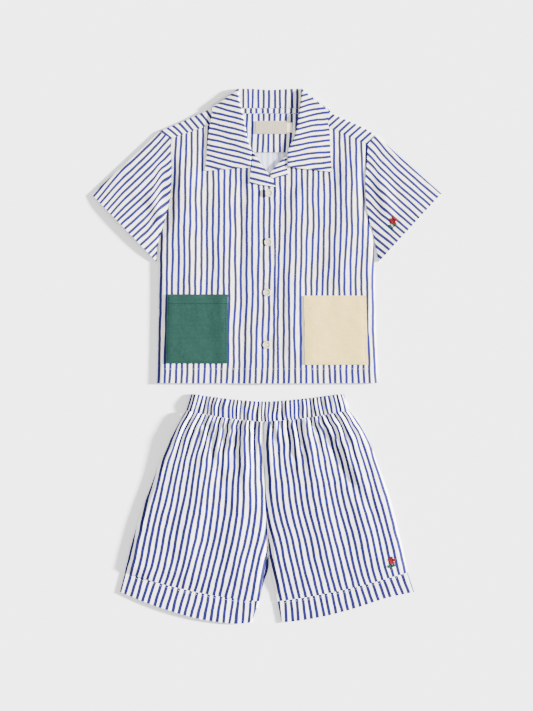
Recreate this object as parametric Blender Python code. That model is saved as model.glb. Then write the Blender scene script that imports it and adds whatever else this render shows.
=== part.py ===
"""A child's co-ord set laid flat: a camp-collar shirt above a pair of pull-on shorts.

Run it with: blender --background --python part.py
Every size is in millimetres. A cloth piece is drawn as a thin sheet through the middle of its wall,
and a Solidify modifier gives it the wall. The set lies on its back, so z = 0 is the surface under it.
Right and left are the wearer's, so the right front has the lower x. Heights in the tables of the shirt
run up from its hem, and in those of the shorts from the lowest point of the cuffs.
"""

from collections import namedtuple
from math import cos, hypot, pi, radians, sin

import bmesh
import bpy
from mathutils import Vector

MM = 0.001

# Wall of the cloth, the gap between pieces, and the step from one layer of cloth to the next.
WALL = 1.0
BAND_WALL = 1.6
GAP = 0.3
LAYER = WALL + GAP
FLAT = WALL / 2

# Where each garment's own zero lies in the whole layout, along y.
SHIRT_HEM_Y = -40.5
SHORTS_HEM_Y = -401.0

# Front panels, hem to yoke seam: the outer edge is the side seam and armhole, and the inner edge is the
# front edge, the roll of the lapel and the neckline. Each row starts a stretch of `steps` mesh rows.
FrontRow = namedtuple("FrontRow", "outer_x outer_y inner_x inner_y steps")
FRONT_RIGHT = (
    FrontRow(-164.0, 0.5, 14.5, 0.0, 2),
    FrontRow(-163.0, 30.0, 14.5, 30.0, 5),
    FrontRow(-161.0, 134.0, 14.5, 134.0, 4),
    FrontRow(-161.5, 216.0, 14.5, 216.0, 1),
    FrontRow(-157.5, 229.0, 14.5, 230.0, 1),
    FrontRow(-151.5, 247.0, 14.5, 250.0, 1),
    FrontRow(-145.0, 274.0, 14.5, 272.0, 1),
    FrontRow(-143.0, 292.0, 14.5, 295.0, 1),
    FrontRow(-142.0, 311.0, 5.0, 312.0, 1),
    FrontRow(-142.0, 331.0, -8.0, 331.0, 1),
    FrontRow(-143.0, 346.0, -22.0, 349.5, 1),
    FrontRow(-143.5, 351.0, -31.0, 359.0, 1),
    FrontRow(-143.5, 356.5, -40.5, 371.0, 1),
    FrontRow(-143.5, 361.5, -50.0, 385.0, 1),
    FrontRow(-143.5, 367.0, -57.0, 397.5, 1),
)
FRONT_LEFT = (
    FrontRow(165.5, 0.5, -11.0, 0.0, 2),
    FrontRow(165.5, 28.5, -11.0, 28.5, 5),
    FrontRow(162.0, 131.5, -11.0, 131.5, 4),
    FrontRow(161.0, 212.5, -11.0, 212.5, 1),
    FrontRow(158.5, 230.0, -11.0, 230.0, 1),
    FrontRow(154.0, 244.0, -11.0, 246.0, 1),
    FrontRow(149.5, 265.0, -11.0, 268.0, 1),
    FrontRow(148.0, 288.0, -11.0, 289.0, 1),
    FrontRow(148.0, 310.0, -1.5, 306.0, 1),
    FrontRow(150.0, 328.0, 11.0, 322.0, 1),
    FrontRow(151.0, 345.0, 31.5, 343.5, 1),
    FrontRow(151.3, 349.5, 35.0, 350.0, 1),
    FrontRow(151.5, 353.0, 40.5, 358.5, 1),
    FrontRow(151.7, 356.0, 50.0, 371.5, 1),
    FrontRow(152.0, 359.0, 67.0, 396.0, 1),
)
BACK_SEAM_ROW = 10
SHOULDER_TIP_RIGHT = (-161.0, 378.0)
SHOULDER_TIP_LEFT = (164.0, 372.5)

# Columns of each front as shares of its width from the outer edge, with the pocket's two sides among them.
RIGHT_COLUMNS = (0.0, 0.069, 0.2, 0.33, 0.46, 0.589, 0.692, 0.769, 0.88, 1.0)
LEFT_COLUMNS = (0.0, 0.075, 0.21, 0.34, 0.475, 0.61, 0.74, 0.87, 1.0)
POCKET_COLUMNS = (1, 5)
POCKET_ROWS = (1, 2)
BACK_COLUMNS = 9

# The right front laps over the left one, and climbs onto it between these two places.
LAP_FOOT_X = -39.5
LAP_TOP_X = -26.0

# Soft folds in the cloth: a ridge from one point to another, its half-width and its height.
Fold = namedtuple("Fold", "x0 y0 x1 y1 width height")
SHIRT_FOLDS = (
    Fold(-112, 150, -126, 300, 34, 1.2),
    Fold(-58, 40, -66, 270, 30, 0.9),
    Fold(112, 160, 124, 300, 32, 1.1),
    Fold(34, 60, 46, 290, 28, 0.8),
    Fold(-170, 276, -158, 250, 18, 1.8),
    Fold(173, 300, 182, 262, 18, 1.8),
)

# Yoke: from the back seam over the shoulder fold to the front seam. `seam` is the share along the front
# seam from the armhole, and `raised` lifts the fold over the collar that lies under it.
YokeRow = namedtuple("YokeRow", "back_x mid_x mid_y fold_x fold_y seam raised")
YOKE_RIGHT = (
    YokeRow(-143.0, -143.2, 367.0, -160.5, 378.5, 0.0, 0),
    YokeRow(-128.0, -129.0, 371.0, -141.0, 386.5, 0.2, 0),
    YokeRow(-107.0, -107.0, 382.0, -115.0, 398.0, 0.45, 0),
    YokeRow(-88.0, -87.5, 395.0, -89.5, 409.5, 0.68, 1),
    YokeRow(-73.0, -73.0, 396.5, -74.5, 415.5, 0.84, 1),
    YokeRow(-57.5, -57.5, 396.5, -63.5, 420.5, 1.0, 1),
)
YOKE_LEFT = (
    YokeRow(151.0, 151.7, 359.0, 163.5, 373.0, 0.0, 0),
    YokeRow(135.5, 137.0, 368.0, 145.0, 384.0, 0.2, 0),
    YokeRow(118.0, 118.0, 380.0, 127.5, 392.0, 0.42, 0),
    YokeRow(98.0, 99.0, 392.0, 102.5, 403.0, 0.65, 1),
    YokeRow(83.0, 84.0, 396.5, 85.0, 411.0, 0.83, 1),
    YokeRow(68.0, 68.0, 396.5, 73.5, 416.0, 1.0, 1),
)
NeckRow = namedtuple("NeckRow", "x back_y mid_y edge_y")
YOKE_NECK = (
    NeckRow(-40.5, 346.0, 396.5, 412.6),
    NeckRow(5.0, 346.0, 396.5, 412.6),
    NeckRow(51.0, 346.0, 396.5, 412.6),
)

# The yoke's lining inside the neck, from under the neck tape to the back seam.
LiningRow = namedtuple("LiningRow", "y left_x right_x raised")
YOKE_LINING = (
    LiningRow(404.5, -48.0, 60.0, 1),
    LiningRow(396.5, -50.0, 62.0, 0),
    LiningRow(384.0, -46.0, 57.0, 0),
    LiningRow(371.0, -38.0, 47.5, 0),
    LiningRow(359.0, -29.0, 38.0, 0),
    LiningRow(350.0, -20.5, 32.5, 0),
    LiningRow(346.6, -18.0, 31.0, 0),
)
TAPE_X = (-41.0, 52.0)
TAPE_Y = (405.2, 412.4)
LABEL_X = (-16.0, 29.7)
LABEL_Y = (374.5, 393.5)
TAB_X = (30.1, 38.5)
TAB_Y = (376.5, 391.0)

# Collar, as sections from the right point round the neck to the left one. `roll` is its folded edge,
# `edge` its free outer edge and `neck` its seam; `turn` goes from 0, where the fall lies under the stand,
# to 180, where it lies over it; `middle` is the height of the roll's middle.
CollarRow = namedtuple(
    "CollarRow",
    "roll_x roll_y edge_x edge_y neck_x neck_y neck_z edge_z middle radius turn steps",
)
COLLAR = (
    CollarRow(-24.0, 324.0, -92.5, 319.0, -28.5, 324.0, 4.4, 3.2, 5.1, 0.7, 180, 2),
    CollarRow(-22.5, 341.0, -91.0, 331.0, -27.0, 341.0, 4.4, 3.2, 5.1, 0.7, 180, 2),
    CollarRow(-23.0, 350.5, -90.0, 340.0, -27.5, 352.0, 4.3, 3.2, 5.2, 0.8, 180, 2),
    CollarRow(-28.0, 366.5, -89.0, 350.5, -37.5, 369.5, 3.2, 3.2, 5.1, 1.0, 180, 2),
    CollarRow(-31.5, 384.0, -88.0, 363.0, -48.6, 385.0, 3.1, 3.2, 5.1, 1.1, 180, 2),
    CollarRow(-34.5, 400.0, -86.5, 376.0, -55.3, 396.5, 3.7, 3.3, 5.4, 1.15, 180, 2),
    CollarRow(-37.5, 413.5, -84.5, 389.0, -57.8, 405.5, 4.2, 3.7, 5.55, 1.15, 180, 2),
    CollarRow(-40.5, 425.0, -82.5, 399.5, -60.0, 413.0, 3.7, 4.3, 5.55, 1.15, 180, 2),
    CollarRow(-41.5, 435.0, -81.5, 406.5, -61.2, 419.5, 3.3, 4.5, 5.3, 1.15, 180, 1),
    CollarRow(-41.6, 439.5, -81.6, 411.0, -61.0, 421.4, 3.1, 4.6, 5.0, 1.15, 160, 1),
    CollarRow(-41.5, 441.0, -81.4, 415.5, -60.0, 422.5, 2.9, 4.2, 4.3, 1.15, 125, 1),
    CollarRow(-41.3, 441.8, -81.2, 417.0, -57.5, 422.0, 2.8, 2.3, 3.4, 1.15, 90, 1),
    CollarRow(-41.0, 442.2, -79.8, 416.3, -52.5, 419.3, 2.8, 0.7, 2.5, 1.15, 50, 1),
    CollarRow(-40.0, 442.4, -66.8, 408.3, -46.0, 416.5, 2.8, 0.5, 1.9, 1.15, 20, 1),
    CollarRow(-37.0, 442.5, -46.0, 407.3, -38.5, 413.3, 2.8, 0.5, 1.65, 1.15, 0, 2),
    CollarRow(-17.0, 442.0, -19.0, 407.0, -17.0, 413.3, 2.8, 0.5, 1.65, 1.15, 0, 2),
    CollarRow(5.0, 440.5, 5.0, 407.0, 5.0, 413.3, 2.8, 0.5, 1.65, 1.15, 0, 2),
    CollarRow(29.0, 441.8, 29.0, 407.0, 29.0, 413.3, 2.8, 0.5, 1.65, 1.15, 0, 2),
    CollarRow(49.0, 442.5, 57.5, 407.3, 50.0, 413.3, 2.8, 0.5, 1.65, 1.15, 0, 1),
    CollarRow(51.8, 442.5, 80.0, 407.3, 57.8, 415.8, 2.8, 0.5, 1.9, 1.15, 20, 1),
    CollarRow(52.7, 442.3, 94.5, 410.0, 63.5, 418.8, 2.8, 0.7, 2.5, 1.15, 50, 1),
    CollarRow(53.2, 441.8, 96.5, 410.2, 68.5, 420.8, 2.8, 2.3, 3.4, 1.15, 90, 1),
    CollarRow(53.3, 441.0, 96.8, 409.0, 70.2, 420.0, 2.9, 4.2, 4.3, 1.15, 125, 1),
    CollarRow(53.0, 439.5, 94.6, 405.0, 71.0, 418.6, 3.1, 4.6, 5.0, 1.15, 160, 1),
    CollarRow(52.5, 435.0, 93.0, 400.5, 70.8, 414.8, 3.5, 4.4, 5.3, 1.15, 180, 2),
    CollarRow(51.0, 425.0, 92.3, 394.0, 69.6, 408.0, 4.0, 3.9, 5.5, 1.15, 180, 2),
    CollarRow(49.2, 413.5, 93.0, 386.0, 67.8, 400.5, 4.2, 3.5, 5.55, 1.15, 180, 2),
    CollarRow(47.5, 400.0, 94.6, 376.0, 62.8, 391.0, 3.7, 3.2, 5.3, 1.15, 180, 2),
    CollarRow(45.5, 385.0, 95.3, 363.5, 54.5, 379.0, 3.2, 3.2, 4.8, 1.1, 180, 2),
    CollarRow(40.0, 367.0, 95.7, 351.0, 46.3, 367.8, 3.1, 3.2, 4.4, 1.0, 180, 2),
    CollarRow(32.5, 351.3, 96.8, 338.0, 37.5, 351.5, 3.1, 3.2, 3.9, 0.8, 180, 2),
    CollarRow(31.5, 341.3, 97.5, 329.0, 36.0, 341.0, 3.1, 3.2, 3.8, 0.7, 180, 2),
    CollarRow(32.0, 324.8, 98.5, 317.3, 36.5, 324.5, 3.1, 3.2, 3.8, 0.7, 180, 2),
)
COLLAR_INSIDE = (5.0, 405.0)
STAND_STEPS = 3
ROLL_STEPS = 4
FALL_STEPS = 5

# Lapels, the turned-back facings: from the roll line to the free outer edge.
LapelRow = namedtuple("LapelRow", "roll_x roll_y edge_x edge_y")
LAPEL_RIGHT = (
    LapelRow(-20.0, 346.8, -21.2, 346.4),
    LapelRow(-15.8, 341.0, -21.2, 340.5),
    LapelRow(-6.5, 328.0, -22.6, 325.0),
    LapelRow(4.2, 312.8, -24.5, 311.3),
    LapelRow(13.8, 295.2, -25.5, 300.5),
)
LAPEL_LEFT = (
    LapelRow(28.7, 340.4, 30.5, 340.0),
    LapelRow(18.5, 331.0, 30.8, 333.0),
    LapelRow(10.0, 321.0, 31.2, 322.8),
    LapelRow(5.8, 314.3, 31.8, 317.3),
    LapelRow(9.8, 306.8, 32.7, 313.0),
)

# Sleeves, each a flat tube from the armhole to its hem, which runs from the fold to the underarm.
SLEEVE_STATIONS = (0.0, 0.08, 0.22, 0.42, 0.62, 0.82, 1.0)
SLEEVE_RIGHT_HEM = ((-262.0, 283.5), (-165.0, 182.5))
SLEEVE_LEFT_HEM = ((262.5, 285.0), (168.0, 182.0))
SLEEVE_LOFT = 2.2
ARMPIT_EASE = 0.6

# Buttons down the right front's edge.
BUTTON_PLACES = ((3.6, 285.5), (2.3, 212.0), (0.5, 136.5), (0.0, 58.0))
ButtonRing = namedtuple("ButtonRing", "radius height")
BUTTON_PROFILE = (
    ButtonRing(0.0, 0.0),
    ButtonRing(4.6, 0.0),
    ButtonRing(5.75, 0.8),
    ButtonRing(5.6, 1.7),
    ButtonRing(4.9, 2.1),
    ButtonRing(3.9, 1.6),
    ButtonRing(0.0, 1.5),
)
BUTTON_SIDES = 16

# Legs of the shorts, waist seam to cuff seam. `bow` drops the middle of a row, `loft` lifts it, `gather`
# is the height of the waistband's gathers there, and `peek` is how far the back panel reaches past the
# front one.
LegRow = namedtuple("LegRow", "outer_x outer_y inner_x inner_y bow loft gather peek")
LEG_RIGHT = (
    LegRow(-120.3, 320.0, -4.0, 303.0, 2.5, 0.6, 2.4, 0.0),
    LegRow(-132.8, 298.5, -3.8, 282.0, 2.5, 1.6, 2.2, 0.0),
    LegRow(-147.8, 268.5, -3.6, 253.5, 3.0, 2.2, 1.5, 0.0),
    LegRow(-161.0, 238.5, -3.3, 225.0, 3.0, 2.4, 0.8, 0.0),
    LegRow(-176.0, 198.8, -2.6, 187.5, 3.0, 2.4, 0.3, 0.0),
    LegRow(-186.8, 169.5, -1.2, 165.0, 3.0, 2.2, 0.0, 0.0),
    LegRow(-194.0, 147.6, 0.4, 144.0, 3.0, 2.0, 0.0, 0.0),
    LegRow(-202.5, 118.5, 1.8, 117.0, 3.0, 1.8, 0.0, 0.0),
    LegRow(-208.5, 93.0, -1.5, 85.5, 3.5, 1.4, 0.0, 4.5),
    LegRow(-210.8, 84.8, -6.5, 63.0, 5.0, 1.0, 0.0, 2.5),
    LegRow(-212.3, 77.3, -10.8, 34.0, 6.5, 0.4, 0.0, 0.0),
)
LEG_LEFT = (
    LegRow(123.8, 320.0, -3.6, 303.0, 2.5, 0.6, 2.4, 0.0),
    LegRow(140.3, 298.5, -3.4, 282.0, 2.5, 1.6, 2.2, 0.0),
    LegRow(155.7, 268.5, -3.2, 253.5, 3.0, 2.2, 1.5, 0.0),
    LegRow(167.3, 238.5, -2.9, 225.0, 3.0, 2.4, 0.8, 0.0),
    LegRow(181.5, 198.8, -2.2, 187.5, 3.0, 2.4, 0.3, 0.0),
    LegRow(190.2, 169.5, -0.8, 165.0, 3.0, 2.2, 0.0, 0.0),
    LegRow(195.8, 147.6, 1.2, 144.0, 3.0, 2.0, 0.0, 0.0),
    LegRow(202.5, 118.5, 3.4, 117.0, 3.0, 1.8, 0.0, 0.0),
    LegRow(208.2, 93.0, 5.9, 88.0, 3.0, 1.4, 0.0, 0.0),
    LegRow(210.0, 84.8, 9.8, 66.0, 4.0, 1.0, 0.0, 0.0),
    LegRow(211.5, 77.5, 16.5, 34.0, 5.0, 0.4, 0.0, 0.0),
)
GATHERS_PER_LEG = 11
BACK_LEG_COLUMNS = 5
LEG_FOLDS = (
    Fold(-92, 250, -120, 110, 30, 1.2),
    Fold(-40, 230, -48, 90, 26, 0.9),
    Fold(70, 240, 92, 100, 30, 1.2),
    Fold(128, 220, 150, 120, 26, 1.0),
)

# Outer edges of the waistband and the cuffs, from lower to higher x.
EdgePoint = namedtuple("EdgePoint", "x y")
WAIST_TOP = (
    EdgePoint(-112.8, 345.0),
    EdgePoint(-80.0, 339.0),
    EdgePoint(-46.5, 334.0),
    EdgePoint(1.8, 330.8),
    EdgePoint(62.0, 336.3),
    EdgePoint(116.3, 345.0),
)
WAIST_PEEK = 2.5
WAIST_GATHER = 1.2
CUFF_RIGHT_HEM = (
    EdgePoint(-219.8, 48.0),
    EdgePoint(-167.0, 27.0),
    EdgePoint(-106.7, 9.0),
    EdgePoint(-52.5, 0.5),
    EdgePoint(-22.5, 2.0),
)
CUFF_LEFT_HEM = (
    EdgePoint(22.7, 1.8),
    EdgePoint(61.0, 6.5),
    EdgePoint(98.0, 14.0),
    EdgePoint(134.3, 24.0),
    EdgePoint(179.6, 38.7),
    EdgePoint(221.7, 48.0),
)
CUFF_STEPS = 2
CUFF_LOFT = 1.0

# Colours as sRGB from 0 to 255.
CLOTH_SHIRT = (226, 227, 230)
CLOTH_SHORTS = (222, 224, 230)
CLOTH_INSIDE = (206, 209, 214)
POCKET_GREEN = (67, 116, 105)
POCKET_CREAM = (229, 217, 195)
LABEL_LINEN = (215, 209, 198)
TAB_WHITE = (240, 240, 238)
BUTTON_IVORY = (238, 234, 222)
CLOTH_ROUGHNESS = 0.9
BUTTON_ROUGHNESS = 0.35


def level(layer):
    """The height of the middle of a sheet that lies on `layer` others."""
    return FLAT + layer * LAYER


def soft_step(value, start, end):
    """0 at start and before it, 1 at end and after it, and a soft climb between."""
    share = min(max((value - start) / (end - start), 0.0), 1.0)
    return share * share * (3 - 2 * share)


def fold_height(folds, x, y):
    """How far the soft folds lift the cloth at a point."""
    lift = 0.0
    for fold in folds:
        run_x = fold.x1 - fold.x0
        run_y = fold.y1 - fold.y0
        along = ((x - fold.x0) * run_x + (y - fold.y0) * run_y) / (run_x**2 + run_y**2)
        share = min(max(along, 0.0), 1.0)
        away = hypot(x - fold.x0 - share * run_x, y - fold.y0 - share * run_y)
        if away < fold.width:
            lift += fold.height * (0.5 + 0.5 * cos(pi * away / fold.width))
    return lift


def smooth_between(before, start, end, after, t):
    """A value between start and end on the smooth curve through all four."""
    bend = (2 * before - 5 * start + 4 * end - after) * t**2
    twist = (3 * start - before - 3 * end + after) * t**3
    return 0.5 * (2 * start + (end - before) * t + bend + twist)


def spread(rows):
    """The rows of a table with its `steps` filled in, each column on a smooth curve."""
    filled = []
    for index in range(len(rows) - 1):
        before = rows[max(index - 1, 0)]
        start = rows[index]
        end = rows[index + 1]
        after = rows[min(index + 2, len(rows) - 1)]
        for step in range(start.steps):
            share = step / start.steps
            columns = zip(before, start, end, after)
            filled.append(type(start)(*(smooth_between(*column, share) for column in columns)))
    filled.append(rows[-1])
    return filled


def row_index(rows, wanted):
    """Where a table's row comes among the rows that spread() gives."""
    return sum(row.steps for row in rows[:wanted])


def curve_point(points, share):
    """The point that lies a share of the way along a smooth curve through the points."""
    knots = [Vector((p[0], p[1])) for p in points]
    lengths = [(b - a).length for a, b in zip(knots, knots[1:])]
    distance = share * sum(lengths)
    index = 0
    while index < len(lengths) - 1 and distance > lengths[index]:
        distance -= lengths[index]
        index += 1
    t = min(distance / lengths[index], 1.0)
    start, end = knots[index], knots[index + 1]
    out = (end - knots[index - 1]) * 0.5 if index else end - start
    into = (knots[index + 2] - start) * 0.5 if index + 2 < len(knots) else end - start
    return (
        start * (2 * t**3 - 3 * t**2 + 1)
        + end * (3 * t**2 - 2 * t**3)
        + out * (t**3 - 2 * t**2 + t)
        + into * (t**3 - t**2)
    )


def fold_over(tip, inward, low, high, wall, steps=3):
    """Points round a folded edge from its lower sheet to its upper one. The cloth's outside touches tip."""
    radius = (high - low) / 2
    direction = inward.normalized()
    centre = tip + direction * (radius + wall / 2)
    points = []
    for step in range(steps + 2):
        angle = pi * step / (steps + 1)
        place = centre - direction * radius * sin(angle)
        points.append(Vector((place.x, place.y, (low + high) / 2 - radius * cos(angle))))
    return points


def material(name, colour, roughness):
    """A Principled material of one colour, given as sRGB."""
    made = bpy.data.materials.new(name)
    made.use_nodes = True
    shader = made.node_tree.nodes["Principled BSDF"]
    linear = [((c / 255 + 0.055) / 1.055) ** 2.4 for c in colour]
    shader.inputs["Base Color"].default_value = (*linear, 1.0)
    shader.inputs["Roughness"].default_value = roughness
    return made


class Sheet:
    """A sheet of cloth, gathered from grids of points that share their edges."""

    def __init__(self, origin_y):
        self.mesh = bmesh.new()
        self.origin_y = origin_y
        self.corners = {}

    def corner(self, point):
        """The mesh's corner at a point, made the first time that it is asked for."""
        key = tuple(round(value, 3) for value in point)
        if key not in self.corners:
            place = Vector((point.x, point.y + self.origin_y, point.z)) * MM
            self.corners[key] = self.mesh.verts.new(place)
        return self.corners[key]

    def add(self, grid, closed=False):
        """Adds the faces of a grid of points, closed round each row if it is a tube."""
        for row, following in zip(grid, grid[1:]):
            columns = range(len(row) if closed else len(row) - 1)
            for column in columns:
                other = (column + 1) % len(row)
                corners = [row[column], row[other], following[other], following[column]]
                self.mesh.faces.new([self.corner(point) for point in corners])
        return self

    def finish(self, name, colour, wall=WALL):
        """Makes the object, with the wall on both sides of the sheet."""
        bmesh.ops.recalc_face_normals(self.mesh, faces=self.mesh.faces)
        return object_from(self.mesh, name, colour, CLOTH_ROUGHNESS, wall)


def object_from(mesh, name, colour, roughness, wall=0.0):
    """An object of a mesh, with its own material, and a wall if one is given."""
    data = bpy.data.meshes.new(name)
    mesh.to_mesh(data)
    mesh.free()
    made = bpy.data.objects.new(name, data)
    data.materials.append(material(name, colour, roughness))
    bpy.context.scene.collection.objects.link(made)
    if wall:
        solidify = made.modifiers.new("Wall", "SOLIDIFY")
        solidify.thickness = wall * MM
        solidify.offset = 0.0
        solidify.use_even_offset = True
        solidify.thickness_clamp = 0.0
    return made


def front_height(lapped):
    """The height of a front panel's middle, with or without the climb onto the other front."""

    def height(x, y):
        climb = LAYER * soft_step(x, LAP_FOOT_X, LAP_TOP_X) if lapped else 0.0
        quiet = 1.0 - soft_step(x, -45.0, -30.0) if lapped else soft_step(x, 22.0, 34.0)
        return level(1) + climb + quiet * fold_height(SHIRT_FOLDS, x, y)

    return height


def front_grid(rows, columns, height):
    """The points of a front panel, a row for each section."""
    grid = []
    for row in spread(rows):
        outer = Vector((row.outer_x, row.outer_y))
        inner = Vector((row.inner_x, row.inner_y))
        places = [outer.lerp(inner, share) for share in columns]
        heights = [level(1)] + [height(place.x, place.y) for place in places[1:]]
        grid.append([Vector((p.x, p.y, z)) for p, z in zip(places, heights)])
    return grid


def moved(point, x=0.0, y=0.0, z=0.0):
    """A copy of a point, moved."""
    return Vector((point.x + x, point.y + y, point.z + z))


def pocket_grid(grid, rows):
    """A patch pocket, from the points of the front that it lies on, moved out by a layer."""
    first, last = (row_index(rows, index) for index in POCKET_ROWS)
    left, right = POCKET_COLUMNS
    return [[moved(p, z=LAYER) for p in row[left : right + 1]] for row in grid[first : last + 1]]


def back_grid(right_front, left_front):
    """The back, whose side edges are those of the two fronts."""
    grid = []
    for right_row, left_row in zip(right_front, left_front):
        start, end = right_row[0], left_row[0]
        shares = [column / BACK_COLUMNS for column in range(BACK_COLUMNS + 1)]
        places = [start.lerp(end, share) for share in shares]
        grid.append([Vector((p.x, p.y, level(0))) for p in places])
    return grid


def yoke_side(rows, seam_start, seam_end):
    """One side of the yoke: across the back, over the shoulder fold and down to the front seam."""
    grid = []
    for row in rows:
        raise_by = LAYER * row.raised
        mid = Vector((row.mid_x, row.mid_y, level(0)))
        fold = Vector((row.fold_x, row.fold_y, level(0) + raise_by))
        shelf = (mid + fold) / 2
        shelf.z = fold.z
        seam = seam_start.lerp(seam_end, row.seam)
        front = Vector((seam.x, seam.y + GAP + 0.1, level(1)))
        back = Vector((row.back_x, 346.0 + GAP, level(0)))
        turn = fold_over(fold.xy, shelf.xy - fold.xy, fold.z, fold.z + LAYER, WALL)
        strip = turn[-1].lerp(front, 0.5)
        grid.append([back, back.lerp(mid, 0.5), mid, shelf, *turn, strip, front])
    return grid


def yoke_neck(rows, before, after):
    """The middle of the yoke, from the back seam to the neck edge, joined to the two sides."""
    count = 5
    grid = [before[:count]]
    for row in rows:
        back = Vector((row.x, row.back_y + GAP, level(0)))
        mid = Vector((row.x, row.mid_y, level(0)))
        edge = Vector((row.x, row.edge_y, level(1)))
        shelf = Vector((row.x, (row.mid_y + row.edge_y) / 2, level(1)))
        grid.append([back, back.lerp(mid, 0.5), mid, shelf, edge])
    grid.append(after[:count])
    return grid


def across(rows, count):
    """Points across each row of (left, right), count of them to a side."""
    return [[a.lerp(b, step / count) for step in range(count + 1)] for a, b in rows]


def flat_patch(x_range, y_range, height, columns, rows):
    """A flat rectangle of cloth."""
    return [
        [
            Vector(
                (
                    x_range[0] + (x_range[1] - x_range[0]) * column / columns,
                    y_range[0] + (y_range[1] - y_range[0]) * row / rows,
                    height,
                )
            )
            for column in range(columns + 1)
        ]
        for row in range(rows + 1)
    ]


def collar_section(row):
    """The points of one section of the collar: stand, roll and fall."""
    roll = Vector((row.roll_x, row.roll_y))
    edge = Vector((row.edge_x, row.edge_y))
    neck = Vector((row.neck_x, row.neck_y))
    inward = ((edge - roll).normalized() + (neck - roll).normalized()).normalized()
    side = Vector((-inward.y, inward.x))
    if side.dot(Vector(COLLAR_INSIDE) - roll) < 0:
        side = -side
    turn = radians(row.turn)
    normal = Vector((side.x * sin(turn), side.y * sin(turn), cos(turn)))
    flat = roll + inward * (row.radius + WALL / 2)
    middle = Vector((flat.x, flat.y, row.middle))
    axis = Vector((inward.x, inward.y, 0.0))
    arc = []
    for step in range(ROLL_STEPS + 1):
        angle = pi * step / ROLL_STEPS
        arc.append(middle + row.radius * (normal * cos(angle) - axis * sin(angle)))
    start = Vector((neck.x, neck.y, row.neck_z))
    end = Vector((edge.x, edge.y, row.edge_z))
    stand = [start.lerp(arc[0], step / STAND_STEPS) for step in range(STAND_STEPS)]
    fall = [arc[-1].lerp(end, (step + 1) / FALL_STEPS) for step in range(FALL_STEPS)]
    return stand + arc + fall


def sleeve_plan(tip, armhole, hem, outward):
    """Points of a sleeve seen from above, from the armhole to the hem."""
    head = [Vector(tip)] + [p.xy for p in armhole]
    head = [Vector((p.x + outward * (GAP + 0.2), p.y)) for p in head]
    head[-1].x += outward * ARMPIT_EASE
    lengths = [0.0]
    for a, b in zip(head, head[1:]):
        lengths.append(lengths[-1] + (b - a).length)
    shares = [length / lengths[-1] for length in lengths]
    straight = [head[0].lerp(head[-1], share) for share in shares]
    plan = []
    for station in SLEEVE_STATIONS:
        top = head[0].lerp(Vector(hem[0]), station)
        under = head[-1].lerp(Vector(hem[1]), station)
        fade = (1 - station) ** 2
        plan.append(
            [
                top.lerp(under, share) + (place - line) * fade
                for share, place, line in zip(shares, head, straight)
            ]
        )
    return plan


def tube(plan, low, high, wall, shift=0.0):
    """A flat tube: each ring runs along its lower sheet, round a fold, back along its upper sheet and round
    the other fold. `low` and `high` give the height of a sheet at a station and a column."""
    rings = []
    for station, row in enumerate(plan):
        last = len(row) - 1
        lower = [Vector((p.x, p.y, low(station, c))) for c, p in enumerate(row)]
        upper = [Vector((p.x, p.y, high(station, c))) for c, p in enumerate(row)]
        if shift:
            for column, point in enumerate(lower):
                share = column / last
                point.y += shift * 4 * share * (1 - share) * (station / (len(plan) - 1))
        start = fold_over(row[0], row[1] - row[0], lower[0].z, upper[0].z, wall)
        end = fold_over(row[-1], row[-2] - row[-1], lower[-1].z, upper[-1].z, wall)
        rings.append(lower[1:-1] + end + upper[-2:0:-1] + start[::-1])
    return rings


def leg_grid(rows, columns, gathers, peek=False):
    """The points of a leg panel, a row for each section, with the waistband's gathers on a front one."""
    grid = []
    for row in rows:
        outer = Vector((row.outer_x, row.outer_y))
        inner = Vector((row.inner_x + (row.peek if peek else 0.0), row.inner_y))
        points = []
        for column in range(columns + 1):
            share = column / columns
            hump = 4 * share * (1 - share)
            place = outer.lerp(inner, share)
            place.y -= row.bow * hump
            height = level(0)
            if gathers:
                height = level(1) + row.loft * min(1.0, 1.6 * hump)
                height += fold_height(LEG_FOLDS, place.x, place.y) * hump
                height += row.gather * (column % 2)
            points.append(Vector((place.x, place.y, height)))
        grid.append(points)
    return grid


def cuff(leg_seam, hem, columns):
    """The plan of a cuff, from the seam that it shares with its leg to its own hem."""
    seam = [Vector((p.x, p.y - GAP - 0.1)) for p in leg_seam]
    if seam[0].x > seam[-1].x:
        seam.reverse()
    plan = []
    for step in range(CUFF_STEPS + 1):
        share = step / CUFF_STEPS
        row = []
        for column in range(columns + 1):
            edge = curve_point(hem, column / columns)
            row.append(seam[2 * column].lerp(edge, share))
        plan.append(row)
    return plan


def make_button(name, x, y, bottom):
    """A button turned from its profile."""
    mesh = bmesh.new()
    rings = []
    for ring in BUTTON_PROFILE:
        sides = BUTTON_SIDES if ring.radius else 1
        angles = [2 * pi * side / sides for side in range(sides)]
        rings.append(
            [
                mesh.verts.new(
                    Vector(
                        (
                            x + ring.radius * cos(angle),
                            y + SHIRT_HEM_Y + ring.radius * sin(angle),
                            bottom + ring.height,
                        )
                    )
                    * MM
                )
                for angle in angles
            ]
        )
    for ring, following in zip(rings, rings[1:]):
        for side in range(BUTTON_SIDES):
            other = (side + 1) % BUTTON_SIDES
            corners = [ring[side % len(ring)], ring[other % len(ring)]]
            corners += [following[other % len(following)], following[side % len(following)]]
            mesh.faces.new(list(dict.fromkeys(corners)))
    bmesh.ops.recalc_face_normals(mesh, faces=mesh.faces)
    return object_from(mesh, name, BUTTON_IVORY, BUTTON_ROUGHNESS)


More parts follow.
